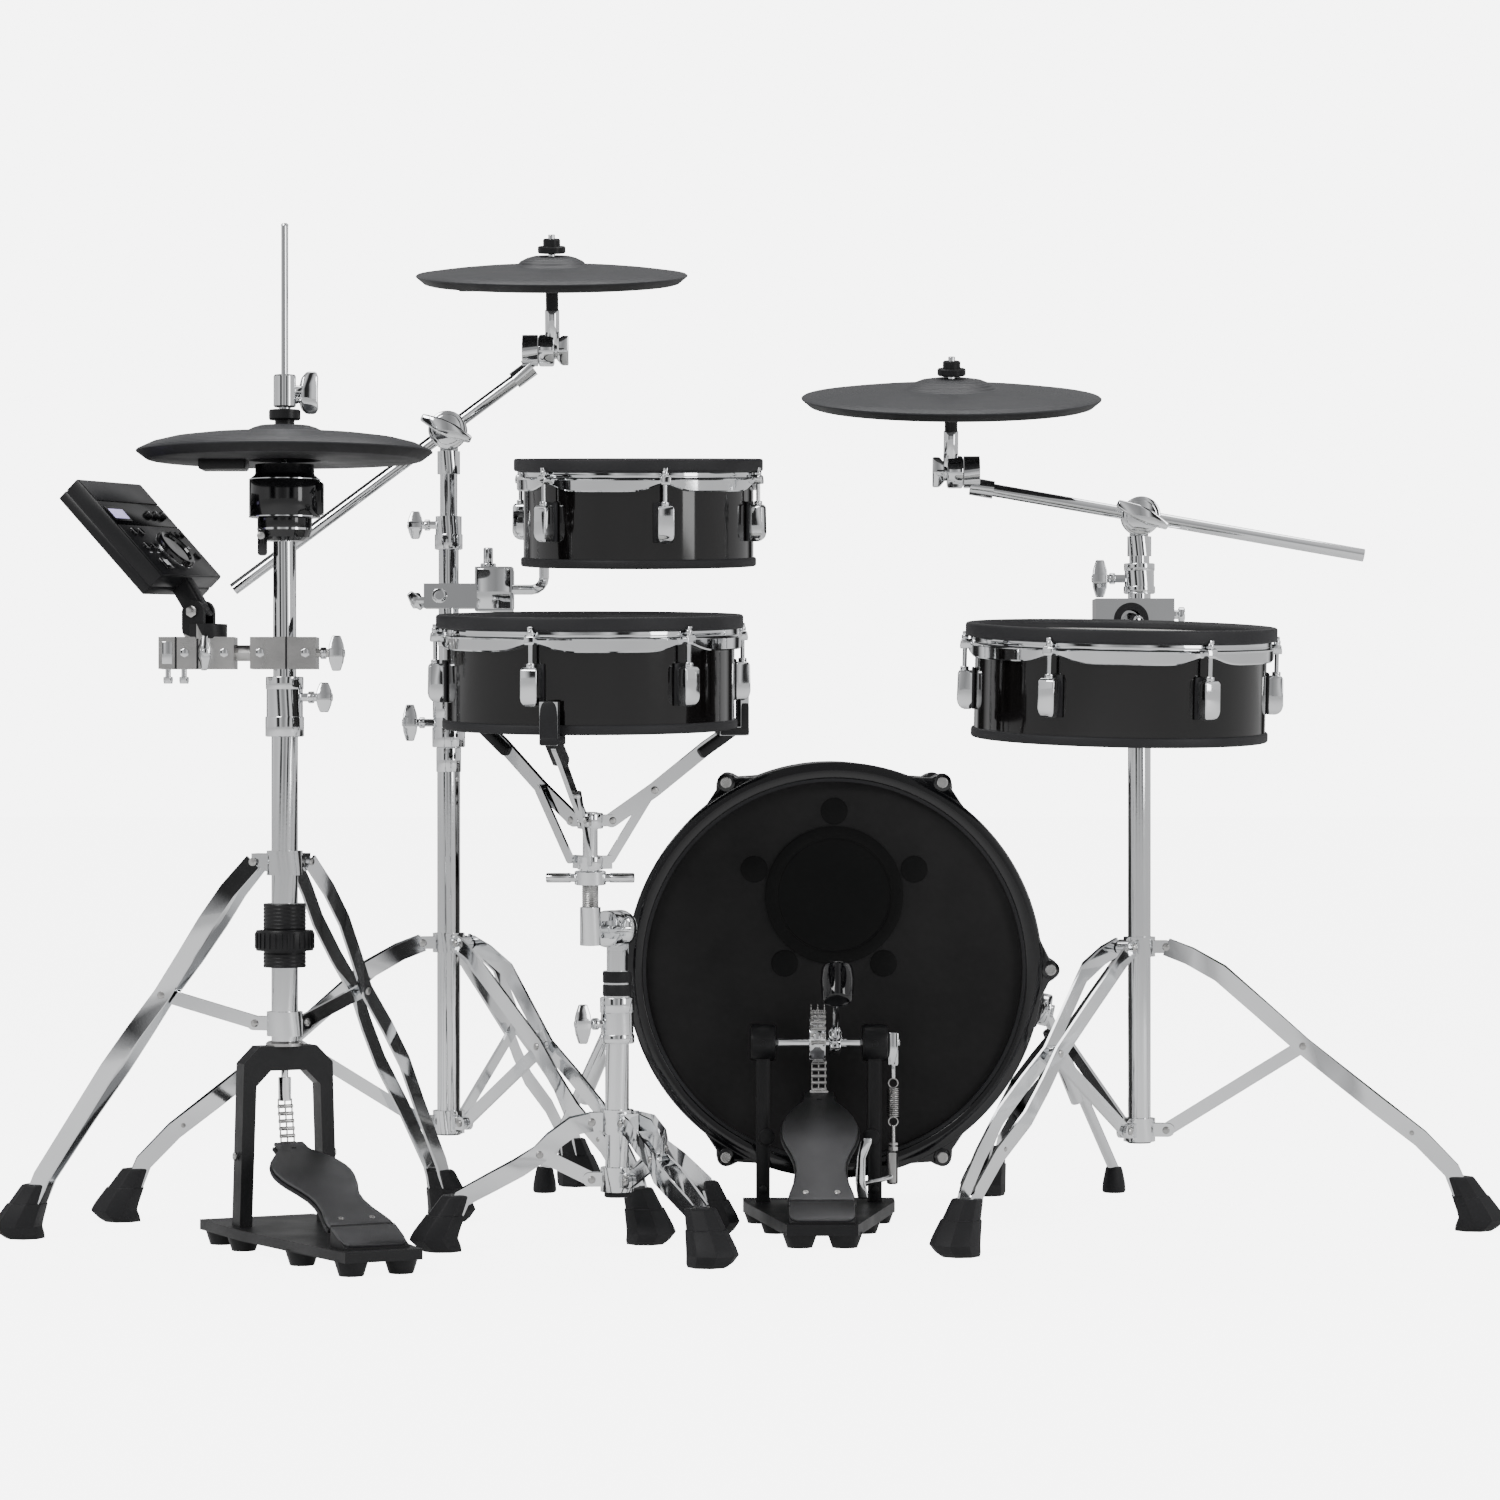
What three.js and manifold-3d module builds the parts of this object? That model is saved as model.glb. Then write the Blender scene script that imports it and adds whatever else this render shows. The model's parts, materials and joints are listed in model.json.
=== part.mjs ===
// Drum kit with shallow pad shells: a kick drum with its pedal, a hi-hat stand with a control module,
// and three tripod stands that carry a crash pad and rack tom, a snare, and a ride pad and floor tom.
// Millimetres, +Z up. +X is the player's right and +Y is away from the player.
import * as THREE from "three";
import { mergeVertices } from "three/addons/utils/BufferGeometryUtils.js";
import Module from "manifold-3d";

const wasm = await Module();
wasm.setup();

// ---------------------------------------------------------------- driving dimensions
const gap = 0.4; // between two faces that touch on the real thing
const slip = 0.5; // extra radius of a hole round what slides or turns in it
const tubeSides = 12;
const drumSides = 26;

// Where each unit stands on the floor, as [x, y].
const kickPlace = [95, 0];
const kickPedalPlace = [77, 0];
const hihatPlace = [-495, -279];
const crashPlace = [-343, 49];
const snarePlace = [-141, -294];
const ridePlace = [434, -55];

const kick = {
  axisHeight: 282, shellRadius: 226, shellWall: 8, shellStart: 14, shellLength: 282,
  hoopReach: 9, hoopLip: 10, hoopDepth: 38, headThickness: 3,
  earRadius: 10.5, earReach: 9, earSpread: 10, ears: 6, sides: 36,
  padRadius: 78, padRise: 84, padThickness: 2,
};
const spur = {
  drop: 55, backset: 200, bracketSize: 44, bracketReach: 24, discRadius: 19, discThickness: 12,
  footOut: 341, footBack: 312, rodRadius: 6.5, footRadius: 14, footHeight: 30,
};
const footboard = { length: 222, thickness: 6, toe: 17, widest: 42, waist: 26.5, heel: 35 };
const heelPlate = { length: 44, endHeight: 28 };
const kickPedal = {
  plateRear: 85, plateRearStart: 4, plateRearDepth: 40, plateFront: 38, plateLength: 290,
  plateBottom: 14, plateTop: 26, padRadius: 20, postSpacing: 62.5, postWidth: 15, postDepth: 20,
  axleHeight: 203, axleBack: 40, axleRadius: 5.5, housingRadius: 20, housingWidth: 27,
  heelBack: 240, heelHeight: 44, boardSlope: 27.3,
  camRadius: 28, camRise: 5, camWidth: 18, beaterOffset: 18, shaftLength: 153, shaftRadius: 3.5,
  beaterRadius: 18, beaterLength: 40, beaterLean: 61.5, rockerOffset: 82,
  feet: [[-66, -26], [66, -26], [-48, -130], [48, -130], [-24, -270], [24, -270]],
};
const hihat = {
  turn: 26.6, tubeRadius: 14.2, tubeWall: 1.4, clampTop: 608, clampBottom: 544,
  clampWall: 5.3, upperBottom: 430, upperTop: 752,
  rodRadius: 3.9, rodBottom: 157, rodTop: 1088, boreRadius: 4.7,
  collarHigh: 409, legAngles: [161.5, 60], adjusterRadius: 22, adjusterNut: 30,
  adjusterLow: 299, adjusterHigh: 367,
  yokeTop: 216, yokeThickness: 26, yokeHalfTop: 50, yokeHalfBase: 55, yokePost: 14, yokeDepth: 24,
  plateBack: 85, plateBackHalf: 65, plateFront: 283, plateFrontHalf: 42, plateBottom: 15, plateTop: 26,
  padRadius: 18, heelBack: 222, heelHeight: 44, boardSlope: 17.6,
  controllerHigh: 834, controllerMid: 818, controllerLow: 776, controllerEnd: 752,
  neckRadius: 31.4, cupRadius: 37.8, skirtRadius: 29,
  feet: [[-46, 68], [46, 68], [-46, 0], [46, 0], [-38, -152], [38, -152], [-27, -262], [27, -262]],
};
const hihatPad = { radius: 157, bottom: 838, bellRadius: 44, knobRadius: 16.5, clutchRadius: 11.7,
  clutchTop: 929 };
const moduleClamp = {
  bottom: 616, top: 650, nearHalf: 35, depth: 38, barRadius: 9, farStart: 52, farEnd: 132,
  holderX: 83, holderWidth: 44, holderTop: 664, pivotX: 91.5, pivotHeight: 676.8,
  tongueWidth: 22, tongueThickness: 18, earWidth: 25, earThickness: 6,
};
const soundModule = {
  width: 154, height: 141, thickness: 30, facing: -18.5, lean: 43.1, twist: 1.8, rise: 38.3, setOver: 8.7,
};

// The tall tripod of the crash stand and of the ride stand. Leg points are [distance from the tube's
// centre, height, half the space between its two strips].
const tallTripod = {
  foot: 367, legPin: [30, 311], legShape: [[56, 301, 13], [90, 282, 17], [130, 247, 12]],
  stayPin: [181, 202], lowerShape: [[220, 171, 12], [262, 138, 16], [310, 101, 10]], legEnd: [344, 66],
  endGap: 7, stayGap: 6, stayLow: [30, 107],
};
const hihatTripod = {
  foot: 308, legPin: [32, 411], legShape: [[60, 380, 13], [84, 346, 16], [112, 306, 12]],
  stayPin: [141, 267], lowerShape: [[170, 228, 12], [200, 187, 15], [238, 134, 10]], legEnd: [284, 68],
  endGap: 7, stayGap: 6, stayLow: [32, 239],
};
const snareTripod = {
  foot: 184, legPin: [27, 136], legShape: [[46, 132, 12], [68, 116, 11]],
  stayPin: [82, 102], lowerShape: [[104, 88, 11], [134, 72, 9]], legEnd: [164, 56],
  endGap: 7, stayGap: 5, stayLow: [27, 75],
};
const strip = { width: 19, thickness: 3, pinRadius: 2.6, lugHalf: 8.6, collarHeight: 22, collarWall: 5 };
const stay = { width: 15, thickness: 4 };
const boot = { sole: 21, flare: 25, flareHeight: 13, flareShift: 10, neck: 15, neckShift: 14, height: 58 };

const wing = { middle: 6.5, thickness: 6, tip: 3.5, tipThickness: 3.5 };

const crash = {
  legAngles: [189, 309, 69], tubeRadius: 13.2, tubeWall: 1.2, tubeBottom: 92,
  clampBottom: 533, clampTop: 589, clampWall: 4.3,
  midWall: 1.2, midBottom: 440, midClampBottom: 758, midClampTop: 796,
  midClampWall: 3.4, topBottom: 700, socketBottom: 844, socketTop: 870, socketWall: 3,
  tilterHeight: 893, tilterRadius: 21.5, boomAngle: 36.6, boomLeft: 303, boomRight: 120, boomRadius: 7.2,
};
const ride = {
  legAngles: [-7.6, 234.3, 114.5], tubeRadius: 12.8, tubeWall: 1.2, tubeBottom: 92,
  clampBottom: 704, clampTop: 738, clampWall: 3.7,
  mastBottom: 600, socketBottom: 746, socketTop: 768, socketWall: 2.3,
  tilterHeight: 790, tilterRadius: 21.5, boomAngle: -10, boomLeft: 192, boomRight: 252, boomRadius: 7.2,
};
const boomTilter = { plateThickness: 12, drumThickness: 27, boomOffset: 15, wingReach: 24, wingSpan: 30 };
const padTilter = {
  radius: 18, half: 18, sleeveRadius: 8, sleeveTop: 46, stemRadius: 4, seatRadius: 7,
  capRadius: 15.5, capHeight: 16, neckReach: 26,
};
const crashPad = { radius: 153.5, bellRadius: 43, tilt: 10, seat: 75, postOffset: 16, boxAngle: 180 };
const ridePad = { radius: 166, bellRadius: 53, tilt: 10.5, seat: 72.5, postOffset: -14, boxAngle: 90 };
const pad = {
  undercut: 13, edge: 11, bevel: 9, shoulder: 20, bellTop: 32, bellFlat: 18, bore: 8, recess: 38,
  recessDepth: 12,
  boxReach: 75, boxLength: 60, boxWidth: 40, boxDrop: 7,
};

const tom = {
  place: [-124, -60], shellRadius: 128, rimRadius: 138.5, shellHeight: 95, tilt: 4, roll: 0, bottom: 741.6,
  lugAngle: -46.6, armDrop: 712,
};
const snare = {
  shellRadius: 151.5, rimRadius: 160.8, shellHeight: 95, tilt: 3, roll: 0, lugAngle: -19.6,
};
const floorTom = {
  place: [388, -363], shellRadius: 152, rimRadius: 162.5, shellHeight: 95, tilt: 3.7, roll: 1, bottom: 558.7,
  lugAngle: -31,
};
const drum = {
  wall: 7, lipHeight: 10, lipReach: 3, lugs: 6, lugWidth: 18, lugDepth: 17, lugHeight: 38, lugTop: 26,
  rimHeight: 14, ringHeight: 8, hoopHeight: 13, hoopReach: 7, ringReach: 5, rimWall: 7, headDrop: 4,
};
const tomClamp = {
  bottom: 691, top: 719, left: 27, join: 31, right: 73, half: 21, blockTop: 738, blockBottom: 688,
  rodRadius: 6, rodBack: 12, rodIn: 36, bend: 14, rodTop: 122,
};
const floorTomClamp = {
  bottom: 664, top: 698, left: 51, right: 36, back: 22, front: 34, holeX: -12, holeHeight: 676,
  holeRadius: 18, holeDepth: 14, rodRadius: 6, rodReach: 138, bend: 16, rodDrop: 112,
};
const snareStand = {
  legAngles: [183.5, -58, 58], tubeRadius: 12.7, tubeWall: 1.2, tubeBottom: 56, clampBottom: 219,
  clampTop: 268, clampWall: 4.8, mastBottom: 150, ringBottom: 269, ringTop: 296,
  ringRadius: 14.5, socketTop: 318, tilterHeight: 341, tilterRadius: 19,
};
const basket = {
  bearing: 240.5, reach: 54, discThickness: 18, stemRadius: 8, stemTop: 124, sleeveTop: 24, nutLow: 48,
  nutHigh: 62,
  nutRadius: 16, handle: 46, lowCollarLow: 64, lowCollarHigh: 78, highCollarLow: 107, highCollarHigh: 123,
  collarRadius: 13.5, armAngles: [18, 138, 258], armPin: [23, 115], armKnee: [70, 146], armTip: [128, 190],
  clawIn: 140, clawOut: 172, clawLip: 44, clawWidth: 19, clawThickness: 9, armWidth: 15, armThickness: 5,
  linkLow: [24, 74], linkOffset: 6, linkThickness: 3, seat: 212,
};

// Each tube slides in the one below it, and clamps, sockets and hoops stand out from what they hold.
const inside = (radius, wall) => radius - wall - gap;
crash.clampRadius = crash.tubeRadius + crash.clampWall;
crash.midRadius = inside(crash.tubeRadius, crash.tubeWall);
crash.midClampRadius = crash.midRadius + crash.midClampWall;
crash.topRadius = inside(crash.midRadius, crash.midWall);
crash.socketRadius = crash.topRadius + crash.socketWall;
ride.clampRadius = ride.tubeRadius + ride.clampWall;
ride.mastRadius = inside(ride.tubeRadius, ride.tubeWall);
ride.socketRadius = ride.mastRadius + ride.socketWall;
hihat.clampRadius = hihat.tubeRadius + hihat.clampWall;
hihat.upperRadius = inside(hihat.tubeRadius, hihat.tubeWall);
snareStand.clampRadius = snareStand.tubeRadius + snareStand.clampWall;
snareStand.mastRadius = inside(snareStand.tubeRadius, snareStand.tubeWall);
kick.hoopRadius = kick.shellRadius + kick.hoopReach;
kick.hoopInner = kick.shellRadius - kick.hoopLip;
kick.boltCircle = kick.hoopRadius + kick.earReach;

// ---------------------------------------------------------------- shape helpers
const rad = THREE.MathUtils.degToRad;
const vec = (p) => new THREE.Vector3(...p);

// A three.js geometry as a manifold-3d solid.
function solid(geometry) {
  const bare = geometry.clone();
  bare.deleteAttribute("normal");
  bare.deleteAttribute("uv");
  const merged = mergeVertices(bare, 1e-4);
  const vertProperties = new Float32Array(merged.attributes.position.array);
  return new wasm.Manifold(
    new wasm.Mesh({ numProp: 3, vertProperties, triVerts: new Uint32Array(merged.index.array) }),
  );
}

function geometryOf(made) {
  const mesh = made.getMesh();
  const geometry = new THREE.BufferGeometry();
  geometry.setAttribute("position", new THREE.BufferAttribute(mesh.vertProperties, 3));
  geometry.setIndex(new THREE.BufferAttribute(mesh.triVerts, 1));
  geometry.computeVertexNormals();
  return geometry;
}

// Joins pieces into one body, and cuts tools out of a body.
const join = (...pieces) => geometryOf(pieces.flat().map(solid).reduce((a, b) => a.add(b)));
const cut = (body, ...tools) =>
  geometryOf(tools.flat().map(solid).reduce((a, b) => a.subtract(b), solid(body)));

// A box centred in x and y at a place, from one height to another.
const block = (width, depth, low, high, x = 0, y = 0) =>
  new THREE.BoxGeometry(width, depth, high - low).translate(x, y, (low + high) / 2);

// A solid turned about Z from an outline of [radius, height] points.
function turned(outline, sides = drumSides) {
  const points = outline.map(([r, z]) => new THREE.Vector2(r, z));
  const closed = outline[0][0] > 0;
  if (THREE.ShapeUtils.area(points) < 0) points.reverse();
  if (closed) points.push(points[0].clone());
  return new THREE.LatheGeometry(points, sides).rotateX(Math.PI / 2);
}

// A round tube about Z, open right through.
const tube = (outer, inner, low, high, sides = tubeSides) =>
  turned([[inner, low], [outer, low], [outer, high], [inner, high]], sides);

// A solid round bar about Z.
const post = (radius, low, high, sides = tubeSides) =>
  turned([[0, low], [radius, low], [radius, high], [0, high]], sides);

// A round bar between two points.
function bar(from, to, radius, sides = 8, endRadius = radius) {
  const along = vec(to).sub(vec(from));
  const turn = new THREE.Quaternion().setFromUnitVectors(vec([0, 0, 1]), along.clone().normalize());
  const outline = [[0, 0], [radius, 0], [endRadius, along.length()], [0, along.length()]];
  return turned(outline, sides).applyQuaternion(turn).translate(...from);
}

// A closed skin through rings of points that run anticlockwise, seen from the last ring.
function loft(rings) {
  const n = rings[0].length;
  const index = [];
  for (let k = 0; k < rings.length - 1; k++) {
    for (let i = 0; i < n; i++) {
      const a = k * n + i;
      const b = k * n + ((i + 1) % n);
      index.push(a, b, b + n, a, b + n, a + n);
    }
  }
  const last = (rings.length - 1) * n;
  for (let i = 1; i < n - 1; i++) index.push(0, i + 1, i, last, last + i, last + i + 1);
  const geometry = new THREE.BufferGeometry();
  geometry.setAttribute("position", new THREE.Float32BufferAttribute(rings.flat(2), 3));
  geometry.setIndex(index);
  return geometry;
}

// A round rod that follows a list of points, with a ring of corners at each.
function pipe(points, radius, sides = 10) {
  const path = points.map(vec);
  const side = new THREE.Vector3();
  const rings = path.map((p, i) => {
    const before = path[Math.max(i - 1, 0)];
    const after = path[Math.min(i + 1, path.length - 1)];
    const along = after.clone().sub(before).normalize();
    if (i === 0) side.crossVectors(along, Math.abs(along.z) < 0.9 ? vec([0, 0, 1]) : vec([1, 0, 0]));
    side.addScaledVector(along, -side.dot(along)).normalize();
    const up = along.clone().cross(side);
    return Array.from({ length: sides }, (_, k) => {
      const turn = (2 * Math.PI * k) / sides;
      const corner = p.clone().addScaledVector(side, radius * Math.cos(turn));
      return corner.addScaledVector(up, radius * Math.sin(turn)).toArray();
    });
  });
  return loft(rings);
}

// The points of a quarter bend in the plane of two unit directions, round a corner point.
function bendPoints(corner, into, out, radius, steps = 4) {
  const start = vec(corner).addScaledVector(vec(into), -radius);
  return Array.from({ length: steps + 1 }, (_, k) => {
    const turn = (Math.PI / 2) * (k / steps);
    const p = start.clone().addScaledVector(vec(into), radius * Math.sin(turn));
    return p.addScaledVector(vec(out), radius * (1 - Math.cos(turn))).toArray();
  });
}

// A flat link in the XZ plane between two [x, z] points, with round ends, centred on y.
function link(from, to, width, thickness, y = 0) {
  const [ax, az] = from;
  const [bx, bz] = to;
  const turn = Math.atan2(bz - az, bx - ax);
  const shape = new THREE.Shape();
  shape.absarc(bx, bz, width / 2, turn - Math.PI / 2, turn + Math.PI / 2, false);
  shape.absarc(ax, az, width / 2, turn + Math.PI / 2, turn + 1.5 * Math.PI, false);
  return sidePlate(shape, thickness, y);
}

// A shape drawn in x and z, given a thickness along Y.
function sidePlate(shape, thickness, y = 0) {
  const plate = new THREE.ExtrudeGeometry(shape, { depth: thickness, bevelEnabled: false, curveSegments: 4 });
  return plate.rotateX(Math.PI / 2).translate(0, y + thickness / 2, 0);
}

// A shape drawn in x and y, from one height to another.
function floorPlate(points, low, high) {
  const shape = new THREE.Shape(points.map(([x, y]) => new THREE.Vector2(x, y)));
  return new THREE.ExtrudeGeometry(shape, { depth: high - low, bevelEnabled: false }).translate(0, 0, low);
}

// A pin along Y at an [x, z] point, of a length each side of y = 0.
const pinY = ([x, z], radius, half, sides = 8) => bar([x, -half, z], [x, half, z], radius, sides);
const copiesAbout = (angles, make) => angles.map((angle) => make().rotateZ(rad(angle)));
const evenly = (count, first = 0) => Array.from({ length: count }, (_, k) => first + (360 * k) / count);

// ---------------------------------------------------------------- scene helpers
const finish = {
  chrome: new THREE.MeshStandardMaterial({ color: 0xd9dadc, roughness: 0.12, metalness: 1 }),
  shell: new THREE.MeshStandardMaterial({ color: 0x0b0a0a, roughness: 0.08, metalness: 0 }),
  rubber: new THREE.MeshStandardMaterial({ color: 0x242326, roughness: 0.85, metalness: 0 }),
  casting: new THREE.MeshStandardMaterial({ color: 0x1c1c1e, roughness: 0.5, metalness: 0.3 }),
  mesh: new THREE.MeshStandardMaterial({ color: 0x1b1a1b, roughness: 0.9, metalness: 0 }),
  plate: new THREE.MeshStandardMaterial({ color: 0x77787b, roughness: 0.4, metalness: 1 }),
  plastic: new THREE.MeshStandardMaterial({ color: 0x151516, roughness: 0.45, metalness: 0 }),
};

const kit = new THREE.Group();

// A turning or sliding point: a named group that what moves is built in.
function pivot(name, parent, place, turn = [0, 0, 0]) {
  const group = new THREE.Group();
  group.name = name;
  group.position.set(...place);
  group.rotation.set(...turn.map(rad));
  parent.add(group);
  return group;
}

function piece(name, parent, geometry, material) {
  const mesh = new THREE.Mesh(geometry, finish[material]);
  mesh.name = name;
  parent.add(mesh);
  return mesh;
}

const unit = ([x, y], turn = 0) => pivot("", kit, [x, y, 0], [0, 0, turn]);

// ---------------------------------------------------------------- tripod pieces
// One pressed steel strip of a leg, at one side of the leg's middle plane.
function legStrip(path, side) {
  return loft(
    path.map(([x, z, half], i) => {
      const before = path[Math.max(i - 1, 0)];
      const after = path[Math.min(i + 1, path.length - 1)];
      const along = new THREE.Vector2(after[0] - before[0], after[1] - before[1]).normalize();
      const acrossX = (-along.y * strip.width) / 2;
      const acrossZ = (along.x * strip.width) / 2;
      const faces = [side * half, side * (half + strip.thickness)].sort((a, b) => a - b);
      return [
        [x + acrossX, faces[0], z + acrossZ],
        [x - acrossX, faces[0], z - acrossZ],
        [x - acrossX, faces[1], z - acrossZ],
        [x + acrossX, faces[1], z + acrossZ],
      ];
    }),
  );
}

// The rubber boot at the end of a leg, flat on the floor.
function bootAt(foot) {
  const ring = (z, radius, shift) =>
    Array.from({ length: 8 }, (_, k) => {
      const turn = (2 * Math.PI * (k + 0.5)) / 8;
      return [foot - shift + radius * Math.cos(turn), radius * Math.sin(turn), z];
    });
  return loft([
    ring(0, boot.sole, 0),
    ring(boot.flareHeight, boot.flare, -boot.flareShift),
    ring(boot.height, boot.neck, boot.neckShift),
  ]);
}

// A whole leg about its tube at x = 0: two strips, the pin that hangs it on its collar, and the boot.
function legShape(shape) {
  const path = [
    [...shape.legPin, strip.lugHalf + gap],
    ...shape.legShape,
    [...shape.stayPin, shape.stayGap],
    ...shape.lowerShape,
    [...shape.legEnd, shape.endGap],
    [shape.foot - boot.neckShift * 0.5, boot.height * 0.5, shape.endGap],
  ];
  const outer = strip.lugHalf + gap + strip.thickness;
  return join(
    legStrip(path, -1),
    legStrip(path, 1),
    pinY(shape.legPin, strip.pinRadius, outer),
    bootAt(shape.foot),
  );
}

// The stay between the lower collar and a leg. Its outer end lies free between the leg's strips.
function stayShape(shape) {
  const body = link(shape.stayLow, shape.stayPin, stay.width, stay.thickness);
  return cut(body, pinY(shape.stayLow, strip.pinRadius + slip, stay.thickness));
}

// The stays of a tripod that doesn't fold, each with the pin that holds it between its leg's strips.
function fixedStays(shape, angles) {
  return copiesAbout(angles, () =>
    join(
      link(shape.stayLow, shape.stayPin, stay.width, stay.thickness),
      pinY(shape.stayPin, strip.pinRadius, shape.stayGap + strip.thickness),
    ),
  );
}

// The upper collar: a ring on the tube with a lug between each pair of leg strips.
function collarShape(shape, radius, angles) {
  const [reach, height] = shape.legPin;
  const low = height - strip.collarHeight / 2;
  const high = height + strip.collarHeight / 2;
  const lugs = copiesAbout(angles, () =>
    join(
      block(reach, 2 * strip.lugHalf, low + 4, high - 4, reach / 2),
      pinY(shape.legPin, strip.collarHeight / 2 - 4, strip.lugHalf, 12),
    ),
  );
  const holes = copiesAbout(angles, () => pinY(shape.legPin, strip.pinRadius + slip, 2 * strip.lugHalf));
  const bore = post(radius + slip, low - 1, high + 1);
  return cut(join(post(radius + strip.collarWall, low, high), lugs), bore, holes);
}

// The lower collar's ring and the pair of ears, with a pin, that holds each stay.
function lowerCollar(shape, radius, angles) {
  const [reach, height] = shape.stayLow;
  const inner = stay.thickness / 2 + gap;
  const ear = (side) =>
    link([radius, height], [reach + 2, height], 15, 4, side * (inner + 2));
  const ears = copiesAbout(angles, () =>
    join(ear(-1), ear(1), pinY(shape.stayLow, strip.pinRadius, inner + 4)),
  );
  return [tube(radius + strip.collarWall, radius - 0.5, height - 13, height + 13), ...ears];
}

// ---------------------------------------------------------------- stand pieces
// A hollow tube with a clamp ring at its top, for the next tube to slide in.
function clampedTube(size, radius, wall, bottom) {
  const outer = join(
    post(radius, bottom, size.clampBottom + 2),
    post(size.clampRadius, size.clampBottom, size.clampTop),
  );
  return { outer, bore: post(radius - wall, bottom - 1, size.clampTop + 1) };
}

// The two flat wings of a wing screw, thick at its middle and thin at its upper and lower tips.
function wingPair(span, reach, height) {
  const ring = (z, deep, wide) => [
    [reach - deep, -wide, z], [reach + deep, -wide, z], [reach + deep, wide, z], [reach - deep, wide, z],
  ];
  const half = span / 2;
  return loft([
    ring(height - half, wing.tip, wing.tipThickness / 2),
    ring(height - half / 2, wing.middle, wing.thickness / 2),
    ring(height + half / 2, wing.middle, wing.thickness / 2),
    ring(height + half, wing.tip, wing.tipThickness / 2),
  ]);
}

// A wing screw that points along an angle about Z: its shank and its two flat wings.
function wingScrew(angle, start, reach, height, span = 40) {
  const shank = bar([start, 0, height], [reach - 8, 0, height], 4.5, 8);
  const wings = wingPair(span, reach - 8, height);
  return join(shank, wings).rotateZ(rad(angle));
}

// The fixed half of a boom tilter: a round plate on top of its tube, facing the player.
function tilterPlate(height, radius, socketTop) {
  const plate = bar([0, boomTilter.plateThickness, height], [0, 0, height], radius, 20);
  return join(plate, block(20, boomTilter.plateThickness, socketTop - 4, height, 0,
    boomTilter.plateThickness / 2));
}

// The turning half of a boom tilter about its own centre, with a hole for the boom and a wing bolt.
function tilterDrum(radius, boomRadius, boomAngle) {
  const face = -gap - boomTilter.drumThickness;
  const body = bar([0, -gap, 0], [0, face, 0], radius, 20);
  const bolt = bar([0, face + 1, 0], [0, face - boomTilter.wingReach + 8, 0], 6, 8);
  const wings = block(boomTilter.wingSpan * 2, 7, -5, 5, 0, face - boomTilter.wingReach + 8).rotateY(rad(25));
  const across = [Math.cos(rad(boomAngle)), Math.sin(rad(boomAngle))];
  const hole = bar(
    [-2 * radius * across[0], -boomTilter.boomOffset, -2 * radius * across[1]],
    [2 * radius * across[0], -boomTilter.boomOffset, 2 * radius * across[1]],
    boomRadius + slip,
    14,
  );
  return cut(join(body, bolt, wings), hole);
}

// A boom about the tilter's centre, with the fixed half of its pad tilter at one end.
// side is 1 where the pad is at the +X end, and -1 where it is at the other.
function boomShape(size, side, end) {
  const towards = [side * Math.cos(rad(size.boomAngle)), side * Math.sin(rad(size.boomAngle))];
  const reach = side > 0 ? size.boomRight : size.boomLeft;
  const tail = side > 0 ? size.boomLeft : size.boomRight;
  const at = (d, x = 0, z = 0) => [towards[0] * d + x, -boomTilter.boomOffset, towards[1] * d + z];
  const [endX, endY, endZ] = end;
  const halfCentre = -side * padTilter.half;
  return join(
    bar(at(-tail), at(reach), size.boomRadius, 12),
    bar(at(reach - padTilter.neckReach), at(reach), size.boomRadius + 2.8, 12),
    bar([endX + halfCentre, endY, endZ], [endX - side * gap, endY, endZ], padTilter.radius, 16),
    bar(at(reach - 2), [endX + halfCentre + side * 4, endY, endZ - padTilter.radius / 2], size.boomRadius,
      10),
  );
}

// The moving half of a pad tilter, about its own pivot: half drum, sleeve, stem, seat and cap.
function padTilterShape(size) {
  const side = Math.sign(size.postOffset);
  const x = size.postOffset;
  const bell = size.seat + pad.bellTop;
  const capLow = bell + 3.2;
  return join(
    bar([side * gap, 0, 0], [side * padTilter.half, 0, 0], padTilter.radius, 16),
    block(2 * padTilter.sleeveRadius, 14, -6, 20, x),
    post(padTilter.sleeveRadius, 0, padTilter.sleeveTop).translate(x, 0, 0),
    post(padTilter.stemRadius, 0, capLow + 4).translate(x, 0, 0),
    post(padTilter.seatRadius, padTilter.sleeveTop - 1, size.seat + pad.recessDepth - 1.4).translate(x, 0, 0),
    post(padTilter.capRadius, capLow, capLow + padTilter.capHeight, 16).translate(x, 0, 0),
    wingScrew(side > 0 ? 0 : 180, padTilter.half - 2, padTilter.half + 16, 0, 30),
  );
}

// A rubber cymbal pad about its own axis, from its flat underside up, with its socket box below.
function padShape(size) {
  const disc = turned([
    [pad.bore, pad.recessDepth], [pad.recess, pad.recessDepth], [pad.recess + 3, 0],
    [size.radius - pad.undercut, 0], [size.radius, pad.bevel], [size.radius - 1, pad.edge],
    [size.bellRadius, pad.shoulder], [(size.bellRadius + pad.bellFlat) / 2,
    (pad.shoulder + pad.bellTop) / 2 + 2.5],
    [pad.bellFlat, pad.bellTop], [pad.bore, pad.bellTop],
  ]);
  const box = block(pad.boxLength, pad.boxWidth, -pad.boxDrop, 2, pad.boxReach,
    0).rotateZ(rad(size.boxAngle));
  return join(disc, box);
}

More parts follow.
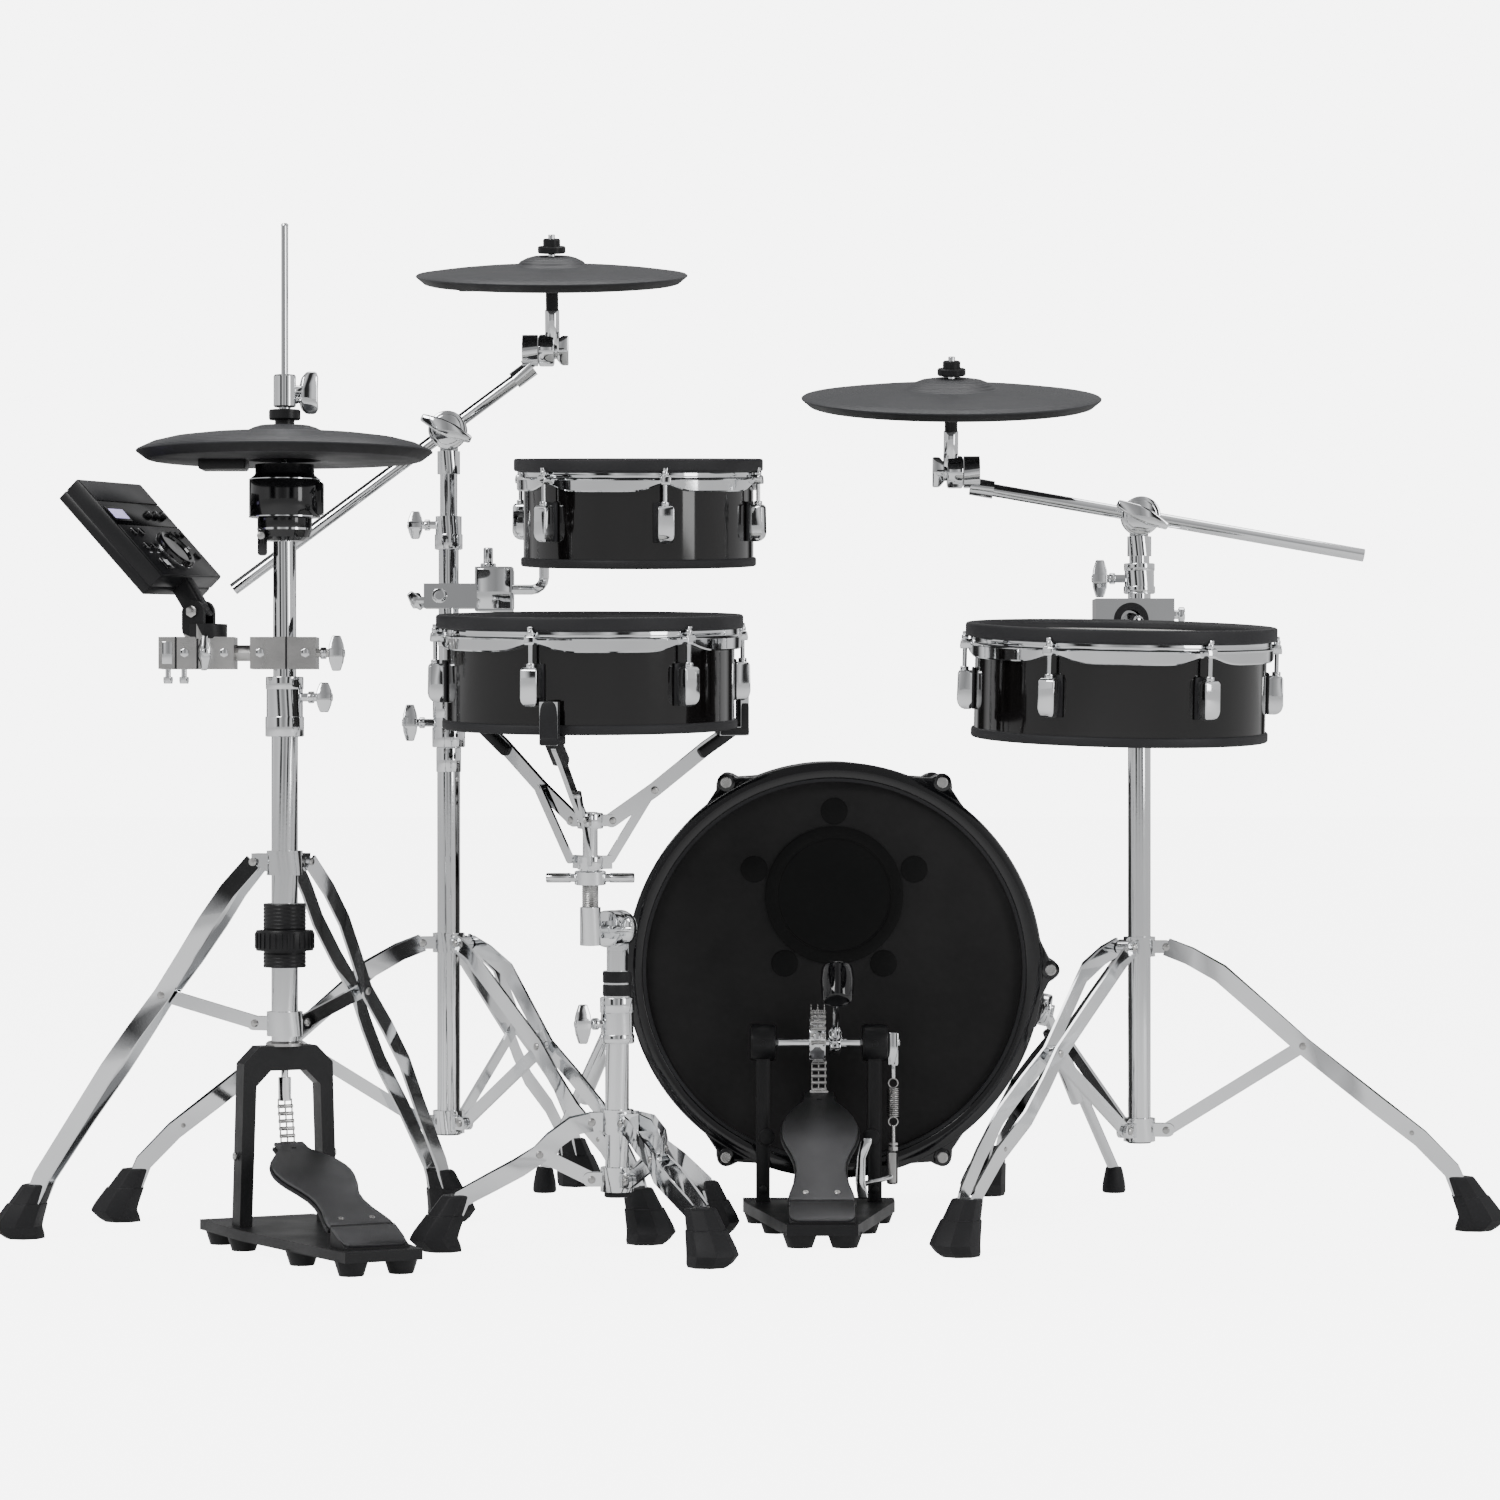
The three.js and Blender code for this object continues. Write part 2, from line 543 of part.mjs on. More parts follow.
// ---------------------------------------------------------------- drums
// A pad shell about its own axis from its lower lip up, with its lugs.
function shellShape(size) {
  const r = size.shellRadius;
  const lip = r + drum.lipReach;
  const wall = turned([
    [r - drum.wall, 0],
    [lip, 0],
    [lip, drum.lipHeight],
    [r, drum.lipHeight],
    [r, size.shellHeight],
    [r - drum.wall, size.shellHeight],
  ]);
  const top = size.shellHeight - drum.lugTop;
  const lugs = copiesAbout(evenly(drum.lugs, size.lugAngle - 90), () =>
    block(drum.lugDepth + 3, drum.lugWidth, top - drum.lugHeight, top, r + drum.lugDepth / 2 - 1.5),
  );
  return join(wall, lugs);
}

// Head, chrome hoop and rubber rim of a pad, on top of its shell.
function rimShape(size) {
  const seat = size.shellHeight + gap;
  const skirt = size.shellRadius + gap;
  const hoop = size.shellRadius + drum.hoopReach;
  const ringLow = seat + 2;
  const rimLow = ringLow + drum.ringHeight;
  const rimTop = rimLow + drum.rimHeight;
  const head = rimTop - drum.headDrop;
  return turned([
    [0, seat],
    [skirt, seat],
    [skirt, seat - drum.hoopHeight + 2],
    [hoop, seat - drum.hoopHeight + 2],
    [hoop, ringLow],
    [size.shellRadius + drum.ringReach, ringLow],
    [size.shellRadius + drum.ringReach, rimLow],
    [size.rimRadius, rimLow],
    [size.rimRadius, rimTop],
    [size.rimRadius - drum.rimWall, rimTop],
    [size.rimRadius - drum.rimWall - 3, head],
    [0, head],
  ]);
}

// ---------------------------------------------------------------- pedals
// A footboard about its heel hinge, running towards +Y and sloping up.
function footboardShape(slope) {
  const half = [
    [0, footboard.heel],
    [0.08, footboard.heel - 2],
    [0.28, footboard.waist],
    [0.4, footboard.waist + 3],
    [0.52, footboard.widest - 5],
    [0.63, footboard.widest],
    [0.74, footboard.widest - 3],
    [0.86, footboard.toe + 10],
    [0.92, footboard.toe],
    [1, footboard.toe],
  ].map(([share, x]) => [x, share * footboard.length + gap]);
  const outline = [...half, ...half.map(([x, y]) => [-x, y]).reverse()];
  return floorPlate(outline, -footboard.thickness / 2, footboard.thickness / 2).rotateX(rad(slope));
}

// The sloping plate that a heel rests on, from the footboard's hinge down to the base plate.
function heelPlateShape(hingeHeight) {
  const half = footboard.heel;
  const ring = (y, low, high) => [
    [-half, y, low], [-half, y, high], [half, y, high], [half, y, low],
  ];
  const top = hingeHeight + footboard.thickness / 2;
  const low = kickPedal.plateTop - 4;
  return loft([ring(-heelPlate.length, low, heelPlate.endHeight), ring(-gap - 2, low, top)]);
}

const baseFeet = (places, radius, height) =>
  places.map(([x, y]) => turned([[0, 0], [radius * 0.7, 0], [radius, height], [0, height]],
    10).translate(x, y, 0));

// ---------------------------------------------------------------- kick drum
// A ring, or a disc where the inner radius is 0, about the kick drum's axis.
function kickRing(inner, outer, front, back) {
  const outline = [[inner, front], [outer, front], [outer, back], [inner, back]];
  return turned(outline, kick.sides).rotateX(-Math.PI / 2);
}

function buildKick() {
  const place = unit(kickPlace);
  const axis = pivot("", place, [0, 0, kick.axisHeight]);
  const shellEnd = kick.shellStart + kick.shellLength;
  const inner = kick.shellRadius - kick.shellWall;
  const brackets = [1, -1].map((side) => {
    const reach = kick.shellRadius + spur.bracketReach;
    const base = new THREE.BoxGeometry(reach - inner - 2, spur.bracketSize, spur.bracketSize)
      .translate((reach + inner + 2) / 2, spur.backset, 0);
    const turn = side > 0 ? spurTurn() : 180 - spurTurn();
    return base.rotateY(rad(turn));
  });
  const shell = kickRing(inner, kick.shellRadius, kick.shellStart, shellEnd);
  const openShell = kickRing(0, inner, kick.shellStart - 1, shellEnd + 1);
  piece("kick_shell", axis, cut(join(shell, brackets), openShell), "shell");

  const headFace = kick.shellStart - gap - kick.headThickness;
  const hoopInner = kick.shellRadius + 3;
  const headRadius = hoopInner - gap;
  const hoop = (front, back, lipFront, lipBack) => {
    const ring = kickRing(kick.hoopInner, kick.hoopRadius, front, back);
    const seat = kickRing(0, hoopInner, lipFront, lipBack);
    return { ring, seat };
  };
  // Each ear is a boss for a tension screw on a wedge that spreads along the hoop.
  const earBars = (front, back) =>
    evenly(kick.ears).map((angle) => {
      const base = kick.hoopRadius - 8;
      const spread = rad(kick.earSpread);
      const wedge = new THREE.Shape([
        new THREE.Vector2(base * Math.cos(spread), -base * Math.sin(spread)),
        new THREE.Vector2(kick.boltCircle + 6, -kick.earRadius * 0.8),
        new THREE.Vector2(kick.boltCircle + 6, kick.earRadius * 0.8),
        new THREE.Vector2(base * Math.cos(spread), base * Math.sin(spread)),
      ]);
      return join(
        sidePlate(wedge, back - front, (front + back) / 2),
        bar([kick.boltCircle, front, 0], [kick.boltCircle, back, 0], kick.earRadius, 10),
      ).rotateY(rad(angle));
    });
  const batter = hoop(0, kick.hoopDepth, headFace - gap, kick.hoopDepth + 1);
  const openInside = kickRing(0, kick.hoopInner, -1, kick.hoopDepth + 1);
  piece("kick_batter_hoop", axis,
    cut(join(batter.ring, earBars(2, kick.hoopDepth - 4)), batter.seat, openInside), "plastic");

  const padFront = headFace - kick.padThickness;
  const padDisc = bar([0, headFace + 1, kick.padRise], [0, padFront, kick.padRise], kick.padRadius, 28);
  const headDisc = kickRing(0, headRadius, headFace, headFace + kick.headThickness);
  piece("kick_batter_head", axis, join(headDisc, padDisc), "mesh");

  const frontStart = shellEnd - kick.hoopDepth + kick.shellStart;
  const frontHead = shellEnd + gap;
  const frontEnd = frontStart + kick.hoopDepth;
  const front = hoop(frontStart, frontEnd, frontStart - 1, frontHead);
  const recess = kickRing(0, kick.hoopInner, frontHead + kick.headThickness, frontEnd + 1);
  const frontBlank = kickRing(0, kick.hoopRadius, frontStart, frontEnd);
  const frontEars = earBars(frontStart + 4, frontEnd - 2);
  piece("kick_front_head", axis, cut(join(frontBlank, frontEars), front.seat, recess), "plastic");

  [1, -1].forEach((side) => {
    const name = side > 0 ? "kick_spur_right" : "kick_spur_left";
    const turn = side > 0 ? spurTurn() : 180 - spurTurn();
    const hinge = pivot(name + "_fold", axis, [0, spur.backset, 0], [0, turn, 0]);
    piece(name, hinge, spurShape(side, hinge, axis), "chrome");
  });
}

// The slope of the line from the kick drum's axis to a spur bracket, in degrees below level.
function spurTurn() {
  return THREE.MathUtils.radToDeg(Math.asin(spur.drop / (kick.shellRadius + spur.bracketReach)));
}

// A spur: the disc on its bracket, a round leg and a rubber foot that meets the floor.
function spurShape(side, hinge, axis) {
  const start = kick.shellRadius + spur.bracketReach + gap;
  hinge.updateWorldMatrix(true, false);
  const floor = new THREE.Vector3(side * spur.footOut, spur.footBack, -kick.axisHeight);
  const toHinge = (p) => hinge.worldToLocal(axis.localToWorld(p.clone()));
  const foot = toHinge(floor.clone().setZ(spur.footHeight - kick.axisHeight));
  const base = toHinge(floor);
  const middle = [start + spur.discThickness / 2, 0, 0];
  const turnBack = hinge.getWorldQuaternion(new THREE.Quaternion()).invert();
  const rubber = turned([[0, 0], [spur.footRadius, 0], [spur.footRadius * 0.7, spur.footHeight],
    [0, spur.footHeight]], 12)
    .applyQuaternion(turnBack).translate(base.x, base.y, base.z);
  return join(
    bar([start, 0, 0], [start + spur.discThickness, 0, 0], spur.discRadius, 14),
    bar(middle, foot.toArray(), spur.rodRadius, 10),
    rubber,
  );
}

// ---------------------------------------------------------------- kick pedal
function buildKickPedal() {
  const place = unit(kickPedalPlace);
  const size = kickPedal;
  const rearEnd = -size.plateRearStart - size.plateRearDepth;
  const plate = floorPlate([
    [-size.plateRear, -size.plateRearStart], [-size.plateRear, rearEnd],
    [-size.plateFront, -size.plateLength],
    [size.plateFront, -size.plateLength], [size.plateRear, rearEnd], [size.plateRear, -size.plateRearStart],
  ], size.plateBottom, size.plateTop);
  const onAxle = (x) => [x, -size.axleBack, size.axleHeight];
  const upright = (side) =>
    block(size.postWidth, size.postDepth, size.plateTop - 2, size.axleHeight, side * size.postSpacing,
      -size.axleBack);
  const housing = (side) => {
    const inner = side * (size.postSpacing - size.housingWidth / 2);
    const outer = side * (size.postSpacing + size.housingWidth / 2);
    return bar(onAxle(inner), onAxle(outer), size.housingRadius, 14);
  };
  const bore = bar(onAxle(-size.plateRear - 15), onAxle(size.plateRear + 15), size.axleRadius + slip, 12);
  const feet = baseFeet(size.feet, size.padRadius, size.plateBottom + 2);
  const hoopBottom = kick.axisHeight - kick.hoopRadius;
  const hoopClamp = block(44, 34, size.plateTop - 2, hoopBottom - gap, 0, -size.plateRearStart - 8);
  const springPost = block(12, 16, size.plateTop + 20, 82, size.rockerOffset, -size.axleBack);
  const springArm = block(size.rockerOffset - size.postSpacing + 6, 14, size.plateTop + 24, 66,
    (size.rockerOffset + size.postSpacing) / 2, -size.axleBack);
  const heel = heelPlateShape(size.heelHeight).translate(0, -size.heelBack, 0);
  const frame = join(plate, upright(1), upright(-1), housing(1), housing(-1), feet, hoopClamp, springPost,
    springArm, heel);
  piece("kick_pedal_frame", place, cut(frame, bore), "casting");

  const heelHinge = pivot("kick_pedal_press", place, [0, -size.heelBack, size.heelHeight]);
  piece("kick_footboard", heelHinge, footboardShape(size.boardSlope), "plate");

  const axle = pivot("kick_beater_swing", place, [0, -size.axleBack, size.axleHeight]);
  const lean = rad(size.beaterLean);
  const out = [0, -Math.sin(lean), Math.cos(lean)];
  const along = [0, Math.cos(lean), Math.sin(lean)];
  const point = (x, d, e = 0) => [x, out[1] * d + along[1] * e, out[2] * d + along[2] * e];
  const halfHead = size.beaterLength / 2;
  const onShaftEnd = (e) => point(size.beaterOffset, size.shaftLength, e);
  const outer = size.rockerOffset + 6;
  piece("kick_beater", axle, join(
    bar([-size.postSpacing - 8, 0, 0], [outer, 0, 0], size.axleRadius, 10),
    bar([-size.camWidth / 2 - 2, 0, size.camRise], [size.camWidth / 2 - 2, 0, size.camRise],
      size.camRadius, 16),
    block(13, 26, -13, 13, size.beaterOffset, 0).rotateX(lean),
    bar(point(size.beaterOffset, 0), point(size.beaterOffset, size.shaftLength + 12), size.shaftRadius, 8),
    bar(onShaftEnd(-halfHead), onShaftEnd(halfHead), size.beaterRadius, 16),
    block(12, 16, -26, 12, size.rockerOffset + 1, 0),
  ), "chrome");
}

// ---------------------------------------------------------------- hi-hat stand
function buildHihat() {
  const place = unit(hihatPlace);
  const size = hihat;
  const angles = size.legAngles;
  const { outer, bore } = clampedTube(size, size.tubeRadius, size.tubeWall, size.yokeTop + gap);
  const legs = copiesAbout(angles, () => legShape(hihatTripod));
  const stays = fixedStays(hihatTripod, angles);
  const lugs = copiesAbout(angles, () => block(34, 2 * strip.lugHalf, size.collarHigh - 8,
    size.collarHigh + 11, 18));
  const body = join(
    outer, legs, stays, lugs, lowerCollar(hihatTripod, size.tubeRadius, angles),
    post(size.tubeRadius + strip.collarWall, size.collarHigh - 12, size.collarHigh + 14),
    post(size.adjusterRadius, size.adjusterLow, size.adjusterHigh),
    post(size.adjusterNut, size.adjusterLow + 18, size.adjusterLow + 39),
    wingScrew(0, size.clampRadius - 3, 50, 586, 30),
  );
  piece("hihat_tripod", place, cut(body, bore), "chrome");

  const pedal = pivot("", place, [0, 0, 0], [0, 0, size.turn]);
  piece("hihat_pedal_frame", pedal, hihatPedalFrame(), "casting");
  const heelHinge = pivot("hihat_pedal_press", pedal, [0, -size.heelBack, size.heelHeight]);
  piece("hihat_footboard", heelHinge, footboardShape(size.boardSlope), "plate");

  const rod = pivot("hihat_rod_pull", place, [0, 0, 0]);
  piece("hihat_pull_rod", rod, join(
    post(size.rodRadius, size.rodBottom, size.rodTop, 10),
    post(7, size.rodBottom, size.rodBottom + 25, 10),
  ), "chrome");

  const upper = pivot("hihat_height", place, [0, 0, 0]);
  piece("hihat_upper_tube", upper, tube(size.upperRadius, size.boreRadius, size.upperBottom,
    size.upperTop - gap), "chrome");
  const boltRing = block(8, 8, size.controllerEnd - 16, size.controllerEnd + 14, -22, -6);
  const controller = turned([
    [size.boreRadius, size.controllerEnd], [size.skirtRadius - 6, size.controllerEnd],
    [size.skirtRadius, size.controllerEnd + 12], [size.skirtRadius, size.controllerLow],
    [size.cupRadius, size.controllerLow + 2], [size.cupRadius, size.controllerMid],
    [size.neckRadius, size.controllerMid + 6], [size.neckRadius, size.controllerHigh],
    [size.boreRadius, size.controllerHigh],
  ], 20);
  piece("hihat_controller", upper, join(controller, boltRing), "plastic");

  const padLift = pivot("hihat_pad_travel", upper, [0, 0, 0]);
  piece("hihat_pad", padLift, hihatPadShape(), "rubber");

  const clampTurn = pivot("module_arm_turn", upper, [0, 0, 0]);
  piece("module_clamp", clampTurn, moduleClampShape(), "casting");
  const facing = soundModule.facing;
  const tilt = pivot("module_tilt", clampTurn, [-moduleClamp.pivotX, 0, moduleClamp.pivotHeight],
    [0, 0, facing]);
  piece("sound_module", tilt, soundModuleShape(), "plastic");
}

// The arch that the hi-hat tube stands on, its base plate, heel plate and feet.
function hihatPedalFrame() {
  const size = hihat;
  const archLow = size.yokeTop - size.yokeThickness;
  const legInner = size.yokeHalfBase - size.yokePost;
  const topInner = size.yokeHalfTop - size.yokePost;
  const arch = new THREE.Shape([
    new THREE.Vector2(-size.yokeHalfBase, size.plateTop - 2), new THREE.Vector2(-legInner, size.plateTop - 2),
    new THREE.Vector2(-topInner, archLow - 16), new THREE.Vector2(-topInner + 16, archLow),
    new THREE.Vector2(topInner - 16, archLow), new THREE.Vector2(topInner, archLow - 16),
    new THREE.Vector2(legInner, size.plateTop - 2), new THREE.Vector2(size.yokeHalfBase, size.plateTop - 2),
    new THREE.Vector2(size.yokeHalfTop, size.yokeTop - 18), new THREE.Vector2(size.yokeHalfTop - 18,
      size.yokeTop),
    new THREE.Vector2(-size.yokeHalfTop + 18, size.yokeTop), new THREE.Vector2(-size.yokeHalfTop,
      size.yokeTop - 18),
  ]);
  const plate = floorPlate([
    [-size.plateBackHalf, size.plateBack], [-size.plateBackHalf, -40],
    [-size.plateFrontHalf, -size.plateFront],
    [size.plateFrontHalf, -size.plateFront], [size.plateBackHalf, -40], [size.plateBackHalf, size.plateBack],
  ], size.plateBottom, size.plateTop);
  const feet = baseFeet(size.feet, size.padRadius, size.plateBottom + 2);
  const heel = heelPlateShape(size.heelHeight).translate(0, -size.heelBack, 0);
  const rodHole = post(8.5, archLow - 1, size.yokeTop + 1, 12);
  return cut(join(sidePlate(arch, size.yokeDepth), plate, feet, heel), rodHole);
}

// The pad, the clamp that grips the rod above it and the knob between them, all with one bore.
function hihatPadShape() {
  const low = hihatPad.bottom;
  const hole = hihat.boreRadius;
  const recess = hihat.neckRadius + 5;
  const knobLow = low + 38;
  const body = turned([
    [hole, low + 20], [recess, low + 20], [recess + 2, low], [hihatPad.radius - pad.undercut, low],
    [hihatPad.radius, low + 9], [hihatPad.radius - 1, low + pad.edge], [hihatPad.radius - 36, low + 23],
    [hihatPad.bellRadius, low + 29], [25, low + 37.5], [10, knobLow], [10, knobLow + 5],
    [hihatPad.knobRadius, knobLow + 5], [hihatPad.knobRadius, knobLow + 16],
    [hihatPad.clutchRadius, knobLow + 16],
    [hihatPad.clutchRadius, hihatPad.clutchTop], [hole, hihatPad.clutchTop],
  ]);
  const jackBox = block(50, 44, low - 11, low + 3, -65, 0);
  return join(body, jackBox, wingScrew(20, hihatPad.clutchRadius - 4, 32, 912, 40));
}

// The clamp that turns about the hi-hat's upper tube and holds the module's holder out to one side.
function moduleClampShape() {
  const size = moduleClamp;
  const middle = (size.bottom + size.top) / 2;
  const farMiddle = -(size.farStart + size.farEnd) / 2;
  const earSide = size.tongueThickness / 2 + gap + size.earThickness / 2;
  const ears = [-1, 1].map((side) =>
    link([0, -18], [0, 0], size.earWidth, size.earThickness, side * earSide)
      .rotateZ(rad(soundModule.facing))
      .translate(-size.pivotX, 0, size.pivotHeight),
  );
  const body = join(
    block(2 * size.nearHalf, size.depth, size.bottom, size.top),
    bar([-size.nearHalf + 4, 0, middle], [-size.farStart - 4, 0, middle], size.barRadius, 10),
    block(size.farEnd - size.farStart, size.depth, size.bottom, size.top, farMiddle),
    post(size.holderWidth / 2, size.top - 2, size.holderTop, 16).translate(-size.holderX, 0, 0),
    ears,
    wingScrew(0, size.nearHalf - 4, size.nearHalf + 28, middle, 36),
    wingScrew(-70, 4, 36, middle, 36).translate(farMiddle, 0, 0),
  );
  return cut(body, post(hihat.upperRadius + slip, size.bottom - 1, size.top + 1));
}

// The module about its tilt pivot: a slab that leans back, and the tongue below it.
function soundModuleShape() {
  const size = soundModule;
  const slab = new THREE.BoxGeometry(size.width, size.height, size.thickness)
    .rotateZ(rad(size.twist))
    .translate(0, size.height / 2, -size.thickness / 2)
    .rotateX(rad(90 - size.lean))
    .rotateZ(rad(90))
    .translate(-size.setOver, 0, size.rise);
  const tongue = link([0, 0], [-20, 31], moduleClamp.tongueWidth, moduleClamp.tongueThickness);
  return join(slab, tongue);
}

// ---------------------------------------------------------------- tall stands
function buildTallTripod(name, place, size) {
  const { outer, bore } = clampedTube(size, size.tubeRadius, size.tubeWall, size.tubeBottom);
  const foot = lowerCollar(tallTripod, size.tubeRadius, size.legAngles);
  const screw = wingScrew(180, size.clampRadius - 3, 52, (size.clampBottom + size.clampTop) / 2);
  piece(name + "_lower_tube", place, cut(join(outer, foot, screw), bore), "chrome");
  const collar = pivot(name + "_fold", place, [0, 0, 0]);
  piece(name + "_collar", collar, collarShape(tallTripod, size.tubeRadius, size.legAngles), "chrome");
  size.legAngles.forEach((angle, k) => {
    const [legX, legZ] = tallTripod.legPin;
    const [stayX, stayZ] = tallTripod.stayLow;
    const legTurn = pivot("", collar, [0, 0, 0], [0, 0, angle]);
    const legHinge = pivot(`${name}_leg_${k + 1}_fold`, legTurn, [legX, 0, legZ]);
    piece(`${name}_leg_${k + 1}`, legHinge, legShape(tallTripod).translate(-legX, 0, -legZ), "chrome");
    const stayTurn = pivot("", place, [0, 0, 0], [0, 0, angle]);
    const stayHinge = pivot(`${name}_stay_${k + 1}_fold`, stayTurn, [stayX, 0, stayZ]);
    piece(`${name}_stay_${k + 1}`, stayHinge, stayShape(tallTripod).translate(-stayX, 0, -stayZ), "chrome");
  });
}

// Boom tilter, boom, pad tilter and pad, on top of a stand's last tube.
function buildBoom(name, top, size, padSize, side) {
  const tilt = pivot(name + "_boom_tilt", top, [0, 0, size.tilterHeight]);
  piece(name + "_boom_tilter", tilt, tilterDrum(size.tilterRadius, size.boomRadius, size.boomAngle),
    "chrome");
  const reach = side > 0 ? size.boomRight : size.boomLeft;
  const along = [side * Math.cos(rad(size.boomAngle)), side * Math.sin(rad(size.boomAngle))];
  const end = [along[0] * (reach + 8), -boomTilter.boomOffset, along[1] * (reach + 8) + 14];
  const slide = pivot(name + "_boom_slide", tilt, [0, 0, 0]);
  piece(name + "_boom", slide, boomShape(size, side, end), "chrome");
  const padTilt = pivot(name + "_pad_tilt", slide, end, [padSize.tilt, 0, 0]);
  piece(name + "_pad_tilter", padTilt, padTilterShape(padSize), "chrome");
  const swing = pivot(name + "_pad_swing", padTilt, [padSize.postOffset, 0, padSize.seat + pad.recessDepth]);
  piece(name + "_pad", swing, padShape(padSize).translate(0, 0, -pad.recessDepth), "rubber");
}

function buildCrash() {
  const place = unit(crashPlace);
  const size = crash;
  buildTallTripod("crash", place, size);
  const middle = pivot("crash_mid_height", place, [0, 0, 0]);
  const midTube = clampedTube(
    { clampBottom: size.midClampBottom, clampTop: size.midClampTop, clampRadius: size.midClampRadius },
    size.midRadius, size.midWall, size.midBottom,
  );
  const screw = wingScrew(180, size.midClampRadius - 3, 46, 786, 30);
  piece("crash_middle_tube", middle, cut(join(midTube.outer, screw), midTube.bore), "chrome");
  const top = pivot("crash_top_height", middle, [0, 0, 0]);
  piece("crash_top_tube", top, join(
    post(size.topRadius, size.topBottom, size.socketTop),
    post(size.socketRadius, size.socketBottom, size.socketTop),
    tilterPlate(size.tilterHeight, size.tilterRadius - 1.5, size.socketTop),
  ), "chrome");
  buildBoom("crash", top, size, crashPad, 1);
  buildTom(middle);
}

// The rack tom's clamp on the crash stand, the bent rod that it holds, and the drum on the rod.
function buildTom(middle) {
  const size = tomClamp;
  const turn = pivot("tom_arm_turn", middle, [0, 0, 0]);
  const body = join(
    block(size.left + size.join + 4, 2 * size.half, size.bottom, size.top, (size.join + 4 - size.left) / 2),
    block(size.right - size.join, 2 * size.half, size.blockBottom, size.blockTop,
      (size.right + size.join) / 2),
    post(5, size.blockTop - 2, size.blockTop + 22, 8).translate(45, 0, 0),
    wingScrew(180, size.left - 3, size.left + 18, 700, 18),
  );
  const onRod = (x) => [x, -size.rodBack, tom.armDrop];
  const rodHole = bar(onRod(size.rodIn - 2), onRod(size.right + 1), size.rodRadius + slip, 12);
  const tubeHole = post(crash.midRadius + slip, size.blockBottom - 1, size.blockTop + 1);
  piece("tom_clamp", turn, cut(body, tubeHole, rodHole), "chrome");

  const arm = pivot("tom_tilt", turn, [0, -size.rodBack, tom.armDrop], [tom.tilt, 0, 0]);
  const drumX = tom.place[0] - crashPlace[0];
  const drumY = tom.place[1] - crashPlace[1] + size.rodBack;
  const armReach = tom.rimRadius + tomClamp.rodRadius + 2;
  const rodX = drumX - Math.sqrt(armReach ** 2 - drumY ** 2);
  piece("tom_rod", arm, pipe([
    [size.rodIn, 0, 0], ...bendPoints([rodX, 0, 0], [1, 0, 0], [0, 0, 1], size.bend), [rodX, 0, size.rodTop],
  ], size.rodRadius), "chrome");

  const swing = pivot("tom_turn", arm, [rodX, 0, 0]);
  const bottom = tom.bottom - tom.armDrop;
  const centre = [drumX - rodX, drumY, bottom];
  const bracketAngle = Math.atan2(-drumY, rodX - drumX);
  const low = 24;
  const high = 62;
  const bracket = cut(
    join(post(12, low, high, 12), block(20, 22, low, high, armReach - 12).rotateZ(bracketAngle)
      .translate(centre[0], centre[1], 0)).translate(0, 0, bottom),
    post(size.rodRadius + slip, 0, 200, 12),
  );
  const shell = shellShape(tom).translate(...centre);
  piece("tom_shell", swing, join(shell, bracket), "shell");
  piece("tom_rim", swing, rimShape(tom).translate(...centre), "rubber");
}

function buildRide() {
  const place = unit(ridePlace);
  const size = ride;
  buildTallTripod("ride", place, size);
  const mast = pivot("ride_mast_height", place, [0, 0, 0]);
  piece("ride_mast", mast, join(
    post(size.mastRadius, size.mastBottom, size.socketTop),
    post(size.socketRadius, size.socketBottom, size.socketTop),
    tilterPlate(size.tilterHeight, size.tilterRadius - 1.5, size.socketTop),
  ), "chrome");
  buildBoom("ride", mast, size, ridePad, -1);
  buildFloorTom(place);
}

// The floor tom's clamp with its bent rod, and the drum that slides on the rod.
function buildFloorTom(place) {
  const size = floorTomClamp;
  const turn = pivot("floor_tom_arm_turn", place, [0, 0, 0]);
  const arm = pivot("", turn, [size.holeX, -size.front, size.holeHeight], [floorTom.tilt, floorTom.roll, 0]);
  const rod = pipe([
    [0, size.holeDepth, 0], ...bendPoints([0, -size.rodReach + size.front, 0], [0, -1, 0], [0, 0, -1],
    size.bend),
    [0, -size.rodReach + size.front, -size.rodDrop],
  ], size.rodRadius);
  rod.applyMatrix4(arm.matrix.compose(arm.position, arm.quaternion, arm.scale));
  const body = block(size.left + size.right, size.front + size.back, size.bottom, size.top,
    (size.right - size.left) / 2, (size.back - size.front) / 2);
  const inHole = (y) => [size.holeX, y - size.front, size.holeHeight - 2];
  const hole = bar(inHole(-1), inHole(size.holeDepth), size.holeRadius - 4, 16);
  const bored = cut(body, hole, post(ride.tubeRadius + slip, size.bottom - 1, size.top + 1));
  piece("floor_tom_clamp", turn, join(bored, rod), "chrome");

  const slide = pivot("floor_tom_height", arm, [0, -size.rodReach + size.front, 0]);
  const drumX = floorTom.place[0] - ridePlace[0] - size.holeX;
  const drumY = floorTom.place[1] - ridePlace[1] + size.rodReach;
  const bottom = floorTom.bottom - size.holeHeight;
  const low = 30;
  const high = 66;
  const reach = Math.hypot(drumX, drumY);
  const bracket = cut(
    join(post(12, low, high, 12), block(reach - floorTom.shellRadius + 4, 22, low, high,
    (reach + floorTom.shellRadius - 4) / 2)
      .rotateZ(Math.atan2(-drumY, -drumX)).translate(drumX, drumY, 0)).translate(0, 0, bottom),
    post(size.rodRadius + slip, -200, 0, 12),
  );
  piece("floor_tom_shell", slide, join(shellShape(floorTom).translate(drumX, drumY, bottom), bracket),
    "shell");
  piece("floor_tom_rim", slide, rimShape(floorTom).translate(drumX, drumY, bottom), "rubber");
}

